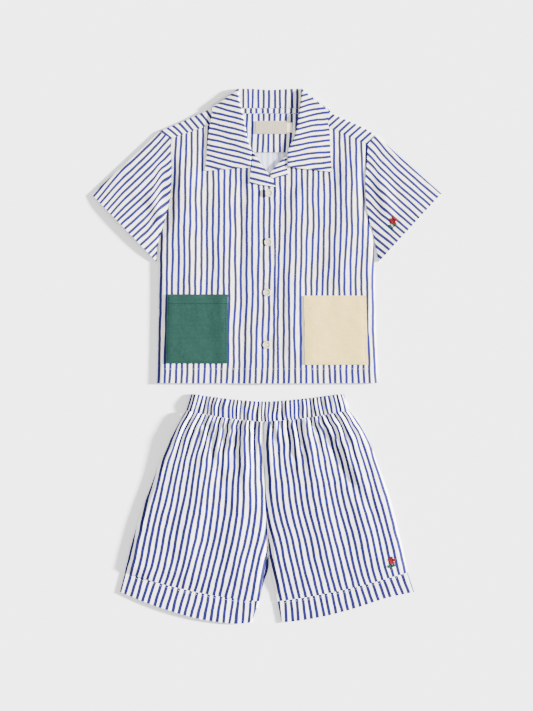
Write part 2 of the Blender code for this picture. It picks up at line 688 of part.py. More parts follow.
def make_body():
    """The two fronts, the back and the patch pockets. Gives the grids of the fronts."""
    right = front_grid(FRONT_RIGHT, RIGHT_COLUMNS, front_height(lapped=True))
    left = front_grid(FRONT_LEFT, LEFT_COLUMNS, front_height(lapped=False))
    seam_row = row_index(FRONT_RIGHT, BACK_SEAM_ROW)
    back = back_grid(right[: seam_row + 1], left[: seam_row + 1])
    Sheet(SHIRT_HEM_Y).add(back).finish("shirt_back", CLOTH_SHIRT)
    Sheet(SHIRT_HEM_Y).add(right).finish("shirt_front_right", CLOTH_SHIRT)
    Sheet(SHIRT_HEM_Y).add(left).finish("shirt_front_left", CLOTH_SHIRT)
    green = pocket_grid(right, FRONT_RIGHT)
    cream = pocket_grid(left, FRONT_LEFT)
    Sheet(SHIRT_HEM_Y).add(green).finish("pocket_green", POCKET_GREEN)
    Sheet(SHIRT_HEM_Y).add(cream).finish("pocket_cream", POCKET_CREAM)
    return right, left


def make_yoke(right, left):
    """The yoke, its lining in the neck, the neck tape and the two labels."""
    right_side = yoke_side(YOKE_RIGHT, right[-1][0], right[-1][-1])
    left_side = yoke_side(YOKE_LEFT, left[-1][0], left[-1][-1])
    sheet = Sheet(SHIRT_HEM_Y)
    sheet.add(right_side)
    sheet.add(left_side)
    sheet.add(yoke_neck(YOKE_NECK, right_side[-1], left_side[-1]))
    sheet.finish("shirt_yoke", CLOTH_SHIRT)
    lining = [
        (Vector((r.left_x, r.y, level(1 + r.raised))), Vector((r.right_x, r.y, level(1 + r.raised))))
        for r in YOKE_LINING
    ]
    Sheet(SHIRT_HEM_Y).add(across(lining, 5)).finish("yoke_lining", CLOTH_INSIDE)
    for name, x_range, y_range, height, colour in (
        ("neck_tape", TAPE_X, TAPE_Y, level(2), CLOTH_INSIDE),
        ("neck_label", LABEL_X, LABEL_Y, level(2), LABEL_LINEN),
        ("size_tab", TAB_X, TAB_Y, level(2), TAB_WHITE),
    ):
        patch = flat_patch(x_range, y_range, height, 3, 1)
        Sheet(SHIRT_HEM_Y).add(patch).finish(name, colour)


def make_collar():
    """The collar and the two lapels beside it."""
    sections = [collar_section(row) for row in spread(COLLAR)]
    Sheet(SHIRT_HEM_Y).add(sections).finish("collar", CLOTH_SHIRT)
    for name, rows, layer in (("lapel_right", LAPEL_RIGHT, 3), ("lapel_left", LAPEL_LEFT, 2)):
        height = level(layer)
        pairs = [
            (Vector((r.roll_x, r.roll_y, height)), Vector((r.edge_x, r.edge_y, height)))
            for r in rows
        ]
        Sheet(SHIRT_HEM_Y).add(across(pairs, 3)).finish(name, CLOTH_SHIRT)


def make_sleeves(right, left):
    """The two sleeves, whose heads follow the armholes of the fronts."""
    armpit = row_index(FRONT_RIGHT, 3)
    for name, tip, grid, hem, outward in (
        ("sleeve_right", SHOULDER_TIP_RIGHT, right, SLEEVE_RIGHT_HEM, -1),
        ("sleeve_left", SHOULDER_TIP_LEFT, left, SLEEVE_LEFT_HEM, 1),
    ):
        armhole = [row[0] for row in grid[armpit:]][::-1]
        plan = sleeve_plan(tip, armhole, hem, outward)
        last = len(plan[0]) - 1

        def top(station, column, plan=plan, last=last):
            place = plan[station][column]
            share = column / last
            hump = 4 * share * (1 - share)
            open_part = SLEEVE_STATIONS[station]
            loft = SLEEVE_LOFT * hump * (0.35 + 0.65 * open_part)
            return level(1) + loft + hump * fold_height(SHIRT_FOLDS, place.x, place.y)

        rings = tube(plan, lambda station, column: level(0), top, WALL)
        Sheet(SHIRT_HEM_Y).add(rings, closed=True).finish(name, CLOTH_SHIRT)


def make_shorts():
    """The legs, the waistband and the cuffs."""
    columns = 2 * GATHERS_PER_LEG
    seams = []
    for side, rows, hem in (
        ("right", LEG_RIGHT, CUFF_RIGHT_HEM),
        ("left", LEG_LEFT, CUFF_LEFT_HEM),
    ):
        front = leg_grid(rows, columns, gathers=True)
        back = leg_grid(rows, BACK_LEG_COLUMNS, gathers=False, peek=True)
        Sheet(SHORTS_HEM_Y).add(front).finish(f"shorts_front_{side}", CLOTH_SHORTS)
        Sheet(SHORTS_HEM_Y).add(back).finish(f"shorts_back_{side}", CLOTH_SHORTS)
        seams.append(front[0])
        plan = cuff(front[-1], hem, GATHERS_PER_LEG)
        last = GATHERS_PER_LEG

        def top(station, column, last=last):
            share = column / last
            hump = 4 * share * (1 - share)
            return level(1) + (0.4 + CUFF_LOFT * station / CUFF_STEPS) * hump

        rings = tube(plan, lambda station, column: level(0), top, WALL)
        Sheet(SHORTS_HEM_Y).add(rings, closed=True).finish(f"cuff_{side}", CLOTH_SHORTS)
    make_waistband(seams[0] + seams[1][-2::-1])


def make_waistband(seam):
    """The gathered waistband, a flat ring above the seam of the two legs."""
    low = BAND_WALL / 2
    high = low + BAND_WALL + GAP
    last = len(seam) - 1
    plan = []
    for share in (0.0, 0.5, 1.0):
        row = []
        for column, point in enumerate(seam):
            start = Vector((point.x, point.y + GAP + 0.1))
            row.append(start.lerp(curve_point(WAIST_TOP, column / last), share))
        plan.append(row)

    def top(station, column):
        inside = 0 < column < last
        return high + (WAIST_GATHER * (column % 2) if inside else 0.0)

    rings = tube(plan, lambda station, column: low, top, BAND_WALL, shift=WAIST_PEEK)
    Sheet(SHORTS_HEM_Y).add(rings, closed=True).finish("waistband", CLOTH_SHORTS, BAND_WALL)


def main():
    for old in list(bpy.data.objects):
        bpy.data.objects.remove(old)
    right, left = make_body()
    make_yoke(right, left)
    make_collar()
    make_sleeves(right, left)
    for number, (x, y) in enumerate(BUTTON_PLACES, start=1):
        make_button(f"button_{number}", x, y, level(2) + WALL / 2 + GAP)
    make_shorts()


main()
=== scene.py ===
"""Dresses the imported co-ord set: a striped camp-collar shirt laid flat above pull-on shorts.

Every size is in millimetres until a mesh is made. Heights in the tables of the shirt run up from its hem,
and in those of the shorts from the lowest point of the cuffs. Right and left are the wearer's, so the
right front has the lower x.
"""

import logging
from bisect import bisect_right
from dataclasses import dataclass
from enum import Enum
from math import cos, hypot, pi, radians, sin, tan
from typing import Callable, NamedTuple, Sequence

import bmesh
import bpy
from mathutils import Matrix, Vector, noise
from mathutils.bvhtree import BVHTree


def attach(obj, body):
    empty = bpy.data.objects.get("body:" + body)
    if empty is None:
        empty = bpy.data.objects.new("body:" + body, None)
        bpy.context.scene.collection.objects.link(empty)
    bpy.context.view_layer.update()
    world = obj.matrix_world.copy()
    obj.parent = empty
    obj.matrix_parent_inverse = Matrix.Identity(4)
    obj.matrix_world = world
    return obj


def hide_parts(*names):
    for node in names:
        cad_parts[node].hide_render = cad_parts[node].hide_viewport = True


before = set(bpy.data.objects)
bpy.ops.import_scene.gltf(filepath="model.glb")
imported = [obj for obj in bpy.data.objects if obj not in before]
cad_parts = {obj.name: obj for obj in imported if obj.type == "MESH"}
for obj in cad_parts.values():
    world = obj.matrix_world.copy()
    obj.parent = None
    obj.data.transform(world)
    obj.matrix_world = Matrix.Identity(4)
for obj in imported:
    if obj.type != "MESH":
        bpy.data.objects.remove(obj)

log = logging.getLogger("co_ord_set")

MM = 0.001
SHIRT_HEM_Y = -40.5
SHORTS_HEM_Y = -401.0

# The wall of the solids, the gap between them, and the step from one layer to the next.
WALL = 1.0
GAP = 0.3
LAYER = WALL + GAP
# The cloth that shows is thinner than its solid's wall. A pocket's and the waistband's is thicker.
CLOTH = 0.7
POCKET_CLOTH = 1.0
BAND_CLOTH = 1.1
# How far a panel's outer edge is pressed down.
RIM = 0.35
# How many points go round a folded edge.
FOLD_POINTS = 7
# The step from one stripe to the next on the shirt and on the shorts.
SHIRT_PITCH = 8.55
SHORTS_PITCH = 9.2

Grid = list[list[Vector]]
Pattern = list[list[tuple[float, float]]]


class Slot(Enum):
    """The record's material slots."""

    SHIRT = "shirt_cloth"
    SHORTS = "shorts_cloth"
    INSIDE = "inside_cloth"
    GREEN = "pocket_green"
    CREAM = "pocket_cream"
    LABEL = "label_linen"
    TAB = "tab_white"
    BUTTON = "button"


class Held(Enum):
    """How a sheet of cloth is held."""

    LAID = "laid"
    GATHERED = "gathered"
    FOLDED = "folded"


class Cut(NamedTuple):
    """The cloth that a piece was cut from, in millimetres, its area in square metres, and what it lies on.

    A tube's width is taken all round. An area of None means a rectangle.
    """

    width: float
    length: float
    area: float | None
    held: Held
    rests_on: str


def level(layer: float) -> float:
    """The height of the middle of a sheet that lies on `layer` others."""
    return WALL / 2 + layer * LAYER


def soft_step(value: float, start: float, end: float) -> float:
    """0 at start and before it, 1 at end and after it, and a soft climb between."""
    share = min(max((value - start) / (end - start), 0.0), 1.0)
    return share * share * (3 - 2 * share)


def mixed(a: float, b: float, share: float) -> float:
    """A value a share of the way from a to b."""
    return a + (b - a) * share


def smooth_between(before: float, start: float, end: float, after: float, t: float) -> float:
    """A value between start and end on the smooth curve through all four."""
    bend = (2 * before - 5 * start + 4 * end - after) * t**2
    twist = (3 * start - before - 3 * end + after) * t**3
    return 0.5 * (2 * start + (end - before) * t + bend + twist)


def spread(rows: Sequence[tuple], steps: Callable[[tuple], int]) -> list[tuple]:
    """Fills in a table between its rows, each column on a smooth curve.

    Args:
        rows: the table.
        steps: gives how many rows to make of the stretch that starts at a row.

    Returns:
        The rows, closer together.
    """
    filled = []
    for index in range(len(rows) - 1):
        before = rows[max(index - 1, 0)]
        start = rows[index]
        end = rows[index + 1]
        after = rows[min(index + 2, len(rows) - 1)]
        count = steps(start)
        for step in range(count):
            columns = zip(before, start, end, after)
            filled.append(type(start)(*(smooth_between(*c, step / count) for c in columns)))
    filled.append(rows[-1])
    return filled


def look_up(rows: Sequence[tuple], place: float) -> list[float]:
    """Reads a table at a place in its first column.

    Args:
        rows: the table, rising in its first column.
        place: the value to read at. Beyond the table's ends its last stretch goes on straight.

    Returns:
        The other columns, on smooth curves.
    """
    last = len(rows) - 1
    index = min(max(bisect_right([row[0] for row in rows], place) - 1, 0), last - 1)
    start, end = rows[index], rows[index + 1]
    span = end[0] - start[0]
    t = (place - start[0]) / span
    if not 0.0 <= t <= 1.0:
        return [mixed(a, b, t) for a, b in zip(start[1:], end[1:])]
    before, after = rows[max(index - 1, 0)], rows[min(index + 2, last)]
    found = []
    for p, a, b, n in zip(before[1:], start[1:], end[1:], after[1:]):
        out = (b - p) / (end[0] - before[0]) * span
        into = (n - a) / (after[0] - start[0]) * span
        climb = out * (t**3 - 2 * t**2 + t) + into * (t**3 - t**2)
        found.append(a * (2 * t**3 - 3 * t**2 + 1) + b * (3 * t**2 - 2 * t**3) + climb)
    return found


def curve_point(points: Sequence[tuple[float, float]], share: float) -> Vector:
    """The point that lies a share of the way along a smooth curve through the points."""
    knots = [Vector((p[0], p[1])) for p in points]
    lengths = [(b - a).length for a, b in zip(knots, knots[1:])]
    distance = share * sum(lengths)
    index = 0
    while index < len(lengths) - 1 and distance > lengths[index]:
        distance -= lengths[index]
        index += 1
    t = min(distance / lengths[index], 1.0)
    start, end = knots[index], knots[index + 1]
    out = (end - knots[index - 1]) * 0.5 if index else end - start
    into = (knots[index + 2] - start) * 0.5 if index + 2 < len(knots) else end - start
    return (
        start * (2 * t**3 - 3 * t**2 + 1)
        + end * (3 * t**2 - 2 * t**3)
        + out * (t**3 - 2 * t**2 + t)
        + into * (t**3 - t**2)
    )


def uneven(x: float, y: float, size: float, seed: float) -> float:
    """A soft unevenness from -1 to 1 that changes over `size` millimetres."""
    return noise.noise(Vector((x / size, y / size, seed)))


class Fold(NamedTuple):
    """A soft ridge from one point to another, or a trough where its height is below zero."""

    x0: float
    y0: float
    x1: float
    y1: float
    width: float
    height: float


def fold_height(folds: Sequence[Fold], x: float, y: float) -> float:
    """How far the folds lift the cloth at a point."""
    lift = 0.0
    for fold in folds:
        run_x = fold.x1 - fold.x0
        run_y = fold.y1 - fold.y0
        along = ((x - fold.x0) * run_x + (y - fold.y0) * run_y) / (run_x**2 + run_y**2)
        share = min(max(along, 0.0), 1.0)
        away = hypot(x - fold.x0 - share * run_x, y - fold.y0 - share * run_y)
        if away < fold.width:
            lift += fold.height * (0.5 + 0.5 * cos(pi * away / fold.width))
    return lift


class Ripple(NamedTuple):
    """Soft unevenness of the cloth. A larger bias leaves fewer flat places."""

    height: float
    size: float
    seed: float
    bias: float


def relief(folds: Sequence[Fold], ripples: Sequence[Ripple], x: float, y: float) -> float:
    """How far folds and soft unevenness lift the upper cloth at a point."""
    lift = fold_height(folds, x, y)
    for ripple in ripples:
        lift += max(ripple.height * (uneven(x, y, ripple.size, ripple.seed) + ripple.bias), 0.0)
    return lift


# Finishes. Colours are linear shares of the light that comes back.

Colour = tuple[float, float, float]


class Nodes:
    """Builds one material's node tree."""

    def __init__(self, name: str) -> None:
        """Starts a material with a Principled shader."""
        self.material = bpy.data.materials.new(name)
        self.material.use_nodes = True
        self.tree = self.material.node_tree
        self.shader = self.tree.nodes["Principled BSDF"]

    def add(self, kind: str, **settings: object) -> bpy.types.Node:
        """Adds a node of a kind, with its settings."""
        node = self.tree.nodes.new(kind)
        for key, value in settings.items():
            setattr(node, key, value)
        return node

    def link(self, source: bpy.types.NodeSocket, target: bpy.types.NodeSocket) -> None:
        """Joins an output to an input."""
        self.tree.links.new(source, target)

    def math(self, operation: str, *values: object) -> bpy.types.NodeSocket:
        """A Math node's result, from numbers or sockets."""
        node = self.add("ShaderNodeMath", operation=operation)
        for index, value in enumerate(values):
            if isinstance(value, (int, float)):
                node.inputs[index].default_value = value
            else:
                self.link(value, node.inputs[index])
        return node.outputs[0]

    def band(self, value: object, start: float, end: float, low: float, high: float) -> object:
        """Maps start..end smoothly onto low..high."""
        node = self.add("ShaderNodeMapRange", interpolation_type="SMOOTHSTEP")
        self.link(value, node.inputs["Value"])
        for key, number in (("From Min", start), ("From Max", end), ("To Min", low), ("To Max", high)):
            node.inputs[key].default_value = number
        return node.outputs["Result"]

    def noise(self, vector: object, scale: float, detail: float = 2.0, rough: float = 0.5) -> object:
        """A noise texture's value, from 0 to 1."""
        node = self.add("ShaderNodeTexNoise")
        node.inputs["Scale"].default_value = scale
        node.inputs["Detail"].default_value = detail
        node.inputs["Roughness"].default_value = rough
        self.link(vector, node.inputs["Vector"])
        return node.outputs[0]

    def vector(self, x: object, y: object, z: float = 0.0) -> object:
        """A vector of two values."""
        node = self.add("ShaderNodeCombineXYZ")
        for index, value in enumerate((x, y)):
            self.link(value, node.inputs[index])
        node.inputs[2].default_value = z
        return node.outputs[0]

    def colour(self, share: object, first: tuple, second: tuple) -> object:
        """A mix of two colours, each given as numbers or as a socket."""
        node = self.add("ShaderNodeMix", data_type="RGBA")
        self.link(share, node.inputs["Factor"])
        sockets = [s for s in node.inputs if s.type == "RGBA"]
        for socket, value in zip(sockets, (first, second)):
            if isinstance(value, tuple):
                socket.default_value = (*value, 1.0)
            else:
                self.link(value, socket)
        return [s for s in node.outputs if s.type == "RGBA"][0]

    def bumps(self, *heights: tuple[object, float, float]) -> None:
        """Chains bumps, each a height, its depth in metres and its strength, into the normal."""
        before = None
        for height, depth, strength in heights:
            node = self.add("ShaderNodeBump")
            node.inputs["Distance"].default_value = depth
            node.inputs["Strength"].default_value = strength
            self.link(height, node.inputs["Height"])
            if before is not None:
                self.link(before, node.inputs["Normal"])
            before = node.outputs["Normal"]
        self.link(before, self.shader.inputs["Normal"])

    def cloth_axes(self) -> tuple[object, object]:
        """The pattern's two coordinates: across the stripes and along them."""
        axes = self.add("ShaderNodeUVMap", uv_map="Cloth")
        parts = self.add("ShaderNodeSeparateXYZ")
        self.link(axes.outputs["UV"], parts.inputs[0])
        return parts.outputs[0], parts.outputs[1]

    def object_place(self) -> object:
        """The Object coordinates, in metres."""
        return self.add("ShaderNodeTexCoord").outputs["Object"]

    def weave(self, across: object, along: object, yarns: float) -> object:
        """The height of a plain weave with that many yarns to a unit of the pattern."""
        warp = self.math("SINE", self.math("MULTIPLY", across, 2 * pi * yarns))
        weft = self.math("SINE", self.math("MULTIPLY", along, 2 * pi * yarns))
        crossed = self.math("MULTIPLY", warp, weft)
        return self.math("MULTIPLY_ADD", crossed, 0.5, 0.5)

    def centred(self, value: object, spread: float) -> object:
        """Maps a value from 0 to 1 onto a band `spread` wide round 0."""
        return self.math("MULTIPLY_ADD", value, spread, -spread / 2)

    def stretched(self, across: object, along: object, wide: float, long: float) -> object:
        """The pattern's place with each coordinate multiplied, for noise that is finer one way."""
        return self.vector(self.math("MULTIPLY", across, wide), self.math("MULTIPLY", along, long))

    def matt(self, colour: object, roughness: float, sheen: float) -> None:
        """Sets a matt cloth's colour, roughness and sheen."""
        self.link(colour, self.shader.inputs["Base Color"])
        self.shader.inputs["Roughness"].default_value = roughness
        self.shader.inputs["Sheen Weight"].default_value = sheen
        self.shader.inputs["Sheen Roughness"].default_value = 0.5
        self.shader.inputs["Specular IOR Level"].default_value = 0.06


@dataclass(frozen=True)
class StripedCotton:
    """White cotton with narrow woven stripes, one to each unit of the pattern."""

    name: str
    ground: Colour
    stripe: Colour
    ghost: Colour
    half_width: float = 0.25
    edge: float = 0.05
    drift: float = 0.36
    shake: float = 0.1
    fray: float = 0.02
    worn: float = 1.25
    ghost_share: float = 0.55
    sheen: float = 0.03
    roughness: float = 0.88
    yarns: float = 12.0
    crumple: float = 0.35

    def make(self) -> bpy.types.Material:
        """Builds the material."""
        n = Nodes(self.name)
        across, along = n.cloth_axes()
        number = n.math("MULTIPLY", n.math("ROUND", across), 0.73)
        slow = n.noise(n.vector(number, n.math("MULTIPLY", along, 0.17)), 1.0, 0.0)
        fast = n.noise(n.vector(number, n.math("MULTIPLY", along, 0.7)), 1.0, 0.0)
        shifted = n.math("ADD", across, n.centred(slow, self.drift))
        away = n.math("PINGPONG", n.math("ADD", shifted, n.centred(fast, self.shake)), 0.5)
        yarn = n.noise(n.stretched(across, along, 9.0, 0.8), 1.0, 3.0)
        frayed = n.math("ADD", away, n.centred(yarn, self.fray))
        stripe = n.band(frayed, self.half_width - self.edge, self.half_width + self.edge, 1.0, 0.0)
        streak = n.noise(n.stretched(across, along, 6.0, 0.25), 1.0)
        middle = n.math("MULTIPLY", n.band(away, 0.4, 0.47, 0.0, 1.0), n.band(fast, 0.3, 0.6, 0.15, 0.42))
        faint = n.math("MAXIMUM", n.band(streak, 0.45, 0.72, 0.0, self.ghost_share), middle)
        ground = n.colour(faint, self.ground, self.ghost)
        worn = tuple(self.worn * c for c in self.stripe)
        blue = n.colour(n.band(yarn, 0.35, 0.75, 0.0, 1.0), self.stripe, worn)
        n.matt(n.colour(stripe, ground, blue), self.roughness, self.sheen)
        place = n.object_place()
        soft = n.noise(place, 38.0, 3.0, 0.55)
        fine = n.noise(place, 170.0, 2.0, 0.5)
        n.bumps(
            (soft, 0.0022, self.crumple),
            (fine, 0.0004, self.crumple),
            (n.weave(across, along, self.yarns), 0.00006, 0.5),
        )
        return n.material


@dataclass(frozen=True)
class PlainCotton:
    """Cotton of one colour, with slubs along its weft."""

    name: str
    colour: Colour
    slub: Colour
    slub_share: float = 0.5
    sheen: float = 0.03
    roughness: float = 0.9
    yarns: float = 12.0
    crumple: float = 0.35

    def make(self) -> bpy.types.Material:
        """Builds the material."""
        n = Nodes(self.name)
        across, along = n.cloth_axes()
        wide = n.noise(n.stretched(across, along, 0.35, 2.2), 1.0, 3.0)
        narrow = n.noise(n.stretched(across, along, 1.6, 11.0), 1.0, 3.0)
        slub = n.math("MULTIPLY_ADD", narrow, 0.45, n.math("MULTIPLY", wide, 0.55))
        share = n.band(slub, 0.36, 0.64, 0.0, self.slub_share)
        n.matt(n.colour(share, self.colour, self.slub), self.roughness, self.sheen)
        soft = n.noise(n.object_place(), 42.0, 3.0, 0.55)
        n.bumps(
            (soft, 0.0022, self.crumple),
            (slub, 0.0003, 0.4),
            (n.weave(across, along, self.yarns), 0.00008, 0.6),
        )
        return n.material


@dataclass(frozen=True)
class SpeckledLinen:
    """Undyed linen tape with darker flecks."""

    name: str
    colour: Colour
    fleck: Colour

    def make(self) -> bpy.types.Material:
        """Builds the material."""
        n = Nodes(self.name)
        across, along = n.cloth_axes()
        speck = n.noise(n.stretched(across, along, 9.0, 12.0), 1.0, 4.0, 0.65)
        share = n.band(speck, 0.4, 0.6, 0.0, 0.9)
        n.link(n.colour(share, self.colour, self.fleck), n.shader.inputs["Base Color"])
        n.shader.inputs["Roughness"].default_value = 0.92
        n.shader.inputs["Specular IOR Level"].default_value = 0.2
        n.bumps((speck, 0.0003, 0.4), (n.weave(across, along, 9.0), 0.0001, 0.7))
        return n.material


@dataclass(frozen=True)
class Moulded:
    """A smooth moulded or spun finish of nearly one colour."""

    name: str
    colour: Colour
    cloud: Colour
    roughness: float
    scale: float = 300.0
    grain: float = 0.00005
    shine: float = 0.5

    def make(self) -> bpy.types.Material:
        """Builds the material."""
        n = Nodes(self.name)
        n.shader.inputs["Specular IOR Level"].default_value = self.shine
        place = n.object_place()
        cloud = n.noise(place, self.scale, 3.0)
        clouded = n.colour(n.band(cloud, 0.35, 0.7, 0.0, 1.0), self.colour, self.cloud)
        n.link(clouded, n.shader.inputs["Base Color"])
        n.shader.inputs["Roughness"].default_value = self.roughness
        n.bumps((n.noise(place, self.scale * 6), self.grain, 0.4))
        return n.material


class Finishes:
    """The finishes that the pieces share, each made once."""

    def __init__(self) -> None:
        """Makes every material."""
        white = (0.83, 0.80, 0.69)
        faint = (0.42, 0.40, 0.38)
        blue = (0.0125, 0.0118, 0.079)
        self.shirt = StripedCotton("shirt_striped_cotton", white, blue, faint).make()
        # The shorts' copy of the shirt's cloth: its whiter ground is painted light for the brighter light on
        # the shorts, and its stripes are darker.
        shorts_lit_colours = (0.92, 0.91, 0.89), (0.0088, 0.0075, 0.062), (0.48, 0.47, 0.47)
        self.shorts = StripedCotton("shorts_striped_cotton", *shorts_lit_colours, half_width=0.267).make()
        self.band = StripedCotton("waist_striped_cotton", *shorts_lit_colours, half_width=0.3).make()
        self.inside = StripedCotton("yoke_inside_cotton", (0.8, 0.79, 0.72), blue, (0.36, 0.36, 0.42)).make()
        # The back's wrong side: pale soft stripes of its own, on a grey-blue ground darker than the front's
        # white that is partly painted shade inside the neck.
        self.wrong_side_and_shade = StripedCotton(
            "back_wrong_side_painted_shade", (0.6, 0.61, 0.68), (0.33, 0.35, 0.51), (0.48, 0.49, 0.58), edge=0.12
        ).make()
        greens = (0.0094, 0.0345, 0.0268), (0.0076, 0.0258, 0.0208)
        self.green = PlainCotton("pocket_green_cotton", *greens).make()
        self.cream = PlainCotton("pocket_cream_cotton", (0.62, 0.47, 0.16), (0.52, 0.385, 0.13), 0.35).make()
        self.linen = SpeckledLinen("label_speckled_linen", (0.46, 0.4, 0.3), (0.19, 0.155, 0.11)).make()
        self.tab = PlainCotton("size_tab_tape", (0.62, 0.56, 0.43), (0.48, 0.43, 0.34), 0.3).make()
        self.button = Moulded("button_ivory", (0.43, 0.39, 0.26), (0.32, 0.29, 0.19), 0.32).make()
        self.thread_white = self.thread("white", (0.75, 0.73, 0.65))
        # Grey thread for the buttonholes, partly painted shade: its grey stands in for the shade in their
        # slits.
        self.thread_grey_and_shade = self.thread("grey_and_shade", (0.3, 0.29, 0.27))
        self.thread_pine = self.thread("pine", (0.006, 0.022, 0.018))
        self.thread_green = self.thread("green", (0.0035, 0.013, 0.0105))
        self.thread_cream = self.thread("cream", (0.26, 0.19, 0.075))
        self.thread_red = self.thread("red", (0.13, 0.0095, 0.0125))
        self.thread_leaf = self.thread("leaf", (0.014, 0.05, 0.027))
        self.floor = Moulded("studio_floor", (0.852, 0.852, 0.852), (0.85, 0.85, 0.85), 0.95, 3.0, 0.0).make()

    def thread(self, name: str, colour: Colour) -> bpy.types.Material:
        """Makes a dull sewing thread."""
        dark = tuple(0.75 * c for c in colour)
        return Moulded(f"thread_{name}", colour, dark, 0.8, shine=0.03).make()


# Building.


def activate(obj: bpy.types.Object) -> None:
    """Selects one object alone and makes it active."""
    bpy.ops.object.select_all(action="DESELECT")
    obj.select_set(True)
    bpy.context.view_layer.objects.active = obj


def apply_modifiers(obj: bpy.types.Object) -> None:
    """Applies every modifier of an object, in order."""
    activate(obj)
    for modifier in list(obj.modifiers):
        bpy.ops.object.modifier_apply(modifier=modifier.name)


def place_piece(obj: bpy.types.Object, nodes: Sequence[str] = ()) -> None:
    """Ties a finished piece to the part's body and the nodes that it stands for."""
    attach(obj, "root")
    if nodes:
        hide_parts(*nodes)
    obj.data.calc_loop_triangles()
    log.info("%s: %d triangles", obj.name, len(obj.data.loop_triangles))


class Cloth:
    """One piece of cloth, gathered from grids of points through the middle of its wall."""

    def __init__(self, origin_y: float) -> None:
        """Starts with no points. origin_y is where the garment's own zero lies."""
        self.origin_y = origin_y
        self.points: list[Vector] = []
        self.faces: list[list[int]] = []
        self.pattern: list[tuple[float, float]] = []
        self.found: dict[tuple[float, ...], int] = {}

    def corner(self, point: Vector) -> int:
        """The number of the corner at a point, made the first time that it is asked for."""
        key = (round(point.x, 3), round(point.y, 3), round(point.z, 3))
        if key not in self.found:
            self.found[key] = len(self.points)
            self.points.append(Vector((point.x, point.y + self.origin_y, point.z)) * MM)
        return self.found[key]

    def add(self, grid: Grid, pattern: Pattern, closed: bool = False) -> "Cloth":
        """Adds the faces of a grid.

        Args:
            grid: rows of points.
            pattern: the pattern's place at each point, with one more column if the grid is closed.
            closed: whether each row is a ring.
        """
        for r in range(len(grid) - 1):
            count = len(grid[r])
            for c in range(count if closed else count - 1):
                d = (c + 1) % count
                ring = [(r, c, c), (r, d, c + 1), (r + 1, d, c + 1), (r + 1, c, c)]
                corners: list[int] = []
                places: list[tuple[float, float]] = []
                for row, column, mark in ring:
                    number = self.corner(grid[row][column])
                    if number not in corners:
                        corners.append(number)
                        places.append(pattern[row][mark])
                if len(corners) > 2:
                    self.faces.append(corners)
                    self.pattern.extend(places)
        return self

    def make(self, name: str, finish: bpy.types.Material, thickness: float = CLOTH) -> bpy.types.Object:
        """Makes the piece, with its wall and soft edges.

        Args:
            name: the piece's name.
            finish: its material.
            thickness: the cloth's thickness in millimetres.

        Returns:
            The finished object, at the origin.
        """
        data = bpy.data.meshes.new(name)
        data.from_pydata(self.points, [], self.faces)
        layer = data.uv_layers.new(name="Cloth")
        for loop, place in zip(layer.data, self.pattern):
            loop.uv = place
        obj = bpy.data.objects.new(name, data)
        bpy.context.scene.collection.objects.link(obj)
        data.materials.append(finish)
        activate(obj)
        bpy.ops.object.mode_set(mode="EDIT")
        bpy.ops.mesh.select_all(action="SELECT")
        bpy.ops.mesh.normals_make_consistent(inside=False)
        bpy.ops.object.mode_set(mode="OBJECT")
        wall = obj.modifiers.new("Wall", "SOLIDIFY")
        wall.thickness = thickness * MM
        wall.offset = 0.0
        wall.use_even_offset = True
        wall.thickness_clamp = 0.0
        apply_modifiers(obj)
        for corner in obj.data.vertices:
            corner.co.z = max(corner.co.z, 0.0)
        bpy.ops.object.shade_smooth_by_angle(angle=radians(50))
        return obj


def unit_grid(rows: int, columns: int) -> list[list[tuple[float, float]]]:
    """Shares (along, across) over a grid of that many steps."""
    return [[(r / rows, c / columns) for c in range(columns + 1)] for r in range(rows + 1)]


def fold_over(tip: Vector, inward: Vector, low: float, high: float, wall: float) -> list[Vector]:
    """Points round a folded edge from its lower sheet to its upper one.

    Args:
        tip: where the cloth's outside ends, seen from above.
        inward: the way from the tip into the sheets.
        low: the height of the lower sheet's middle.
        high: the height of the upper sheet's middle.
        wall: the wall whose outside touches the tip.
    """
    radius = (high - low) / 2
    direction = inward.normalized()
    centre = tip + direction * (radius + wall / 2)
    points = []
    for step in range(FOLD_POINTS):
        angle = pi * step / (FOLD_POINTS - 1)
        place = centre - direction * radius * sin(angle)
        points.append(Vector((place.x, place.y, (low + high) / 2 - radius * cos(angle))))
    return points


def around(lower: list, end: list, upper: list, start: list, skip: int = 1) -> list:
    """Joins a tube's lower sheet, far fold, upper sheet and near fold into one ring.

    Args:
        lower: values along the lower sheet.
        end: values round the fold at its far side.
        upper: values along the upper sheet.
        start: values round the fold at its near side, from the lower sheet up.
        skip: how many values at each side of a sheet the folds take the place of.
    """
    last = len(lower) - skip
    return lower[skip:last] + end + upper[skip:last][::-1] + start[::-1]


def tube_ring(row: list, lower: list, upper: list, wall: float = WALL, skip: int = 1) -> list[Vector]:
    """Joins the two sheets of a flat tube into one ring, with a fold at each side.

    Args:
        row: the tube's line across, seen from above.
        lower: the points of the lower sheet's middle.
        upper: the points of the upper sheet's middle.
        wall: the wall whose outside touches the line's ends.
        skip: how many points at each side of a sheet the folds take the place of.
    """
    start = fold_over(row[0], row[1] - row[0], lower[0].z, upper[0].z, wall)
    end = fold_over(row[-1], row[-2] - row[-1], lower[-1].z, upper[-1].z, wall)
    return around(lower, end, upper, start, skip)


def share_ring(shares: list[float], skip: int = 1) -> list[float]:
    """How far across its tube each point of a ring lies, from 0 to 1."""
    return around(shares, [1.0] * FOLD_POINTS, shares, [0.0] * FOLD_POINTS, skip)


# The shirt's body.


class FrontRow(NamedTuple):
    """A section of a front: its outer edge and its inner one."""

    outer_x: float
    outer_y: float
    inner_x: float
    inner_y: float
    steps: float


class StripeRow(NamedTuple):
    """Where the first and last stripes of a panel run at a height."""

    y: float
    first_x: float
    last_x: float


BUTTON_PLACES = ((3.6, 285.5), (2.3, 212.0), (0.5, 136.5), (0.0, 58.0))

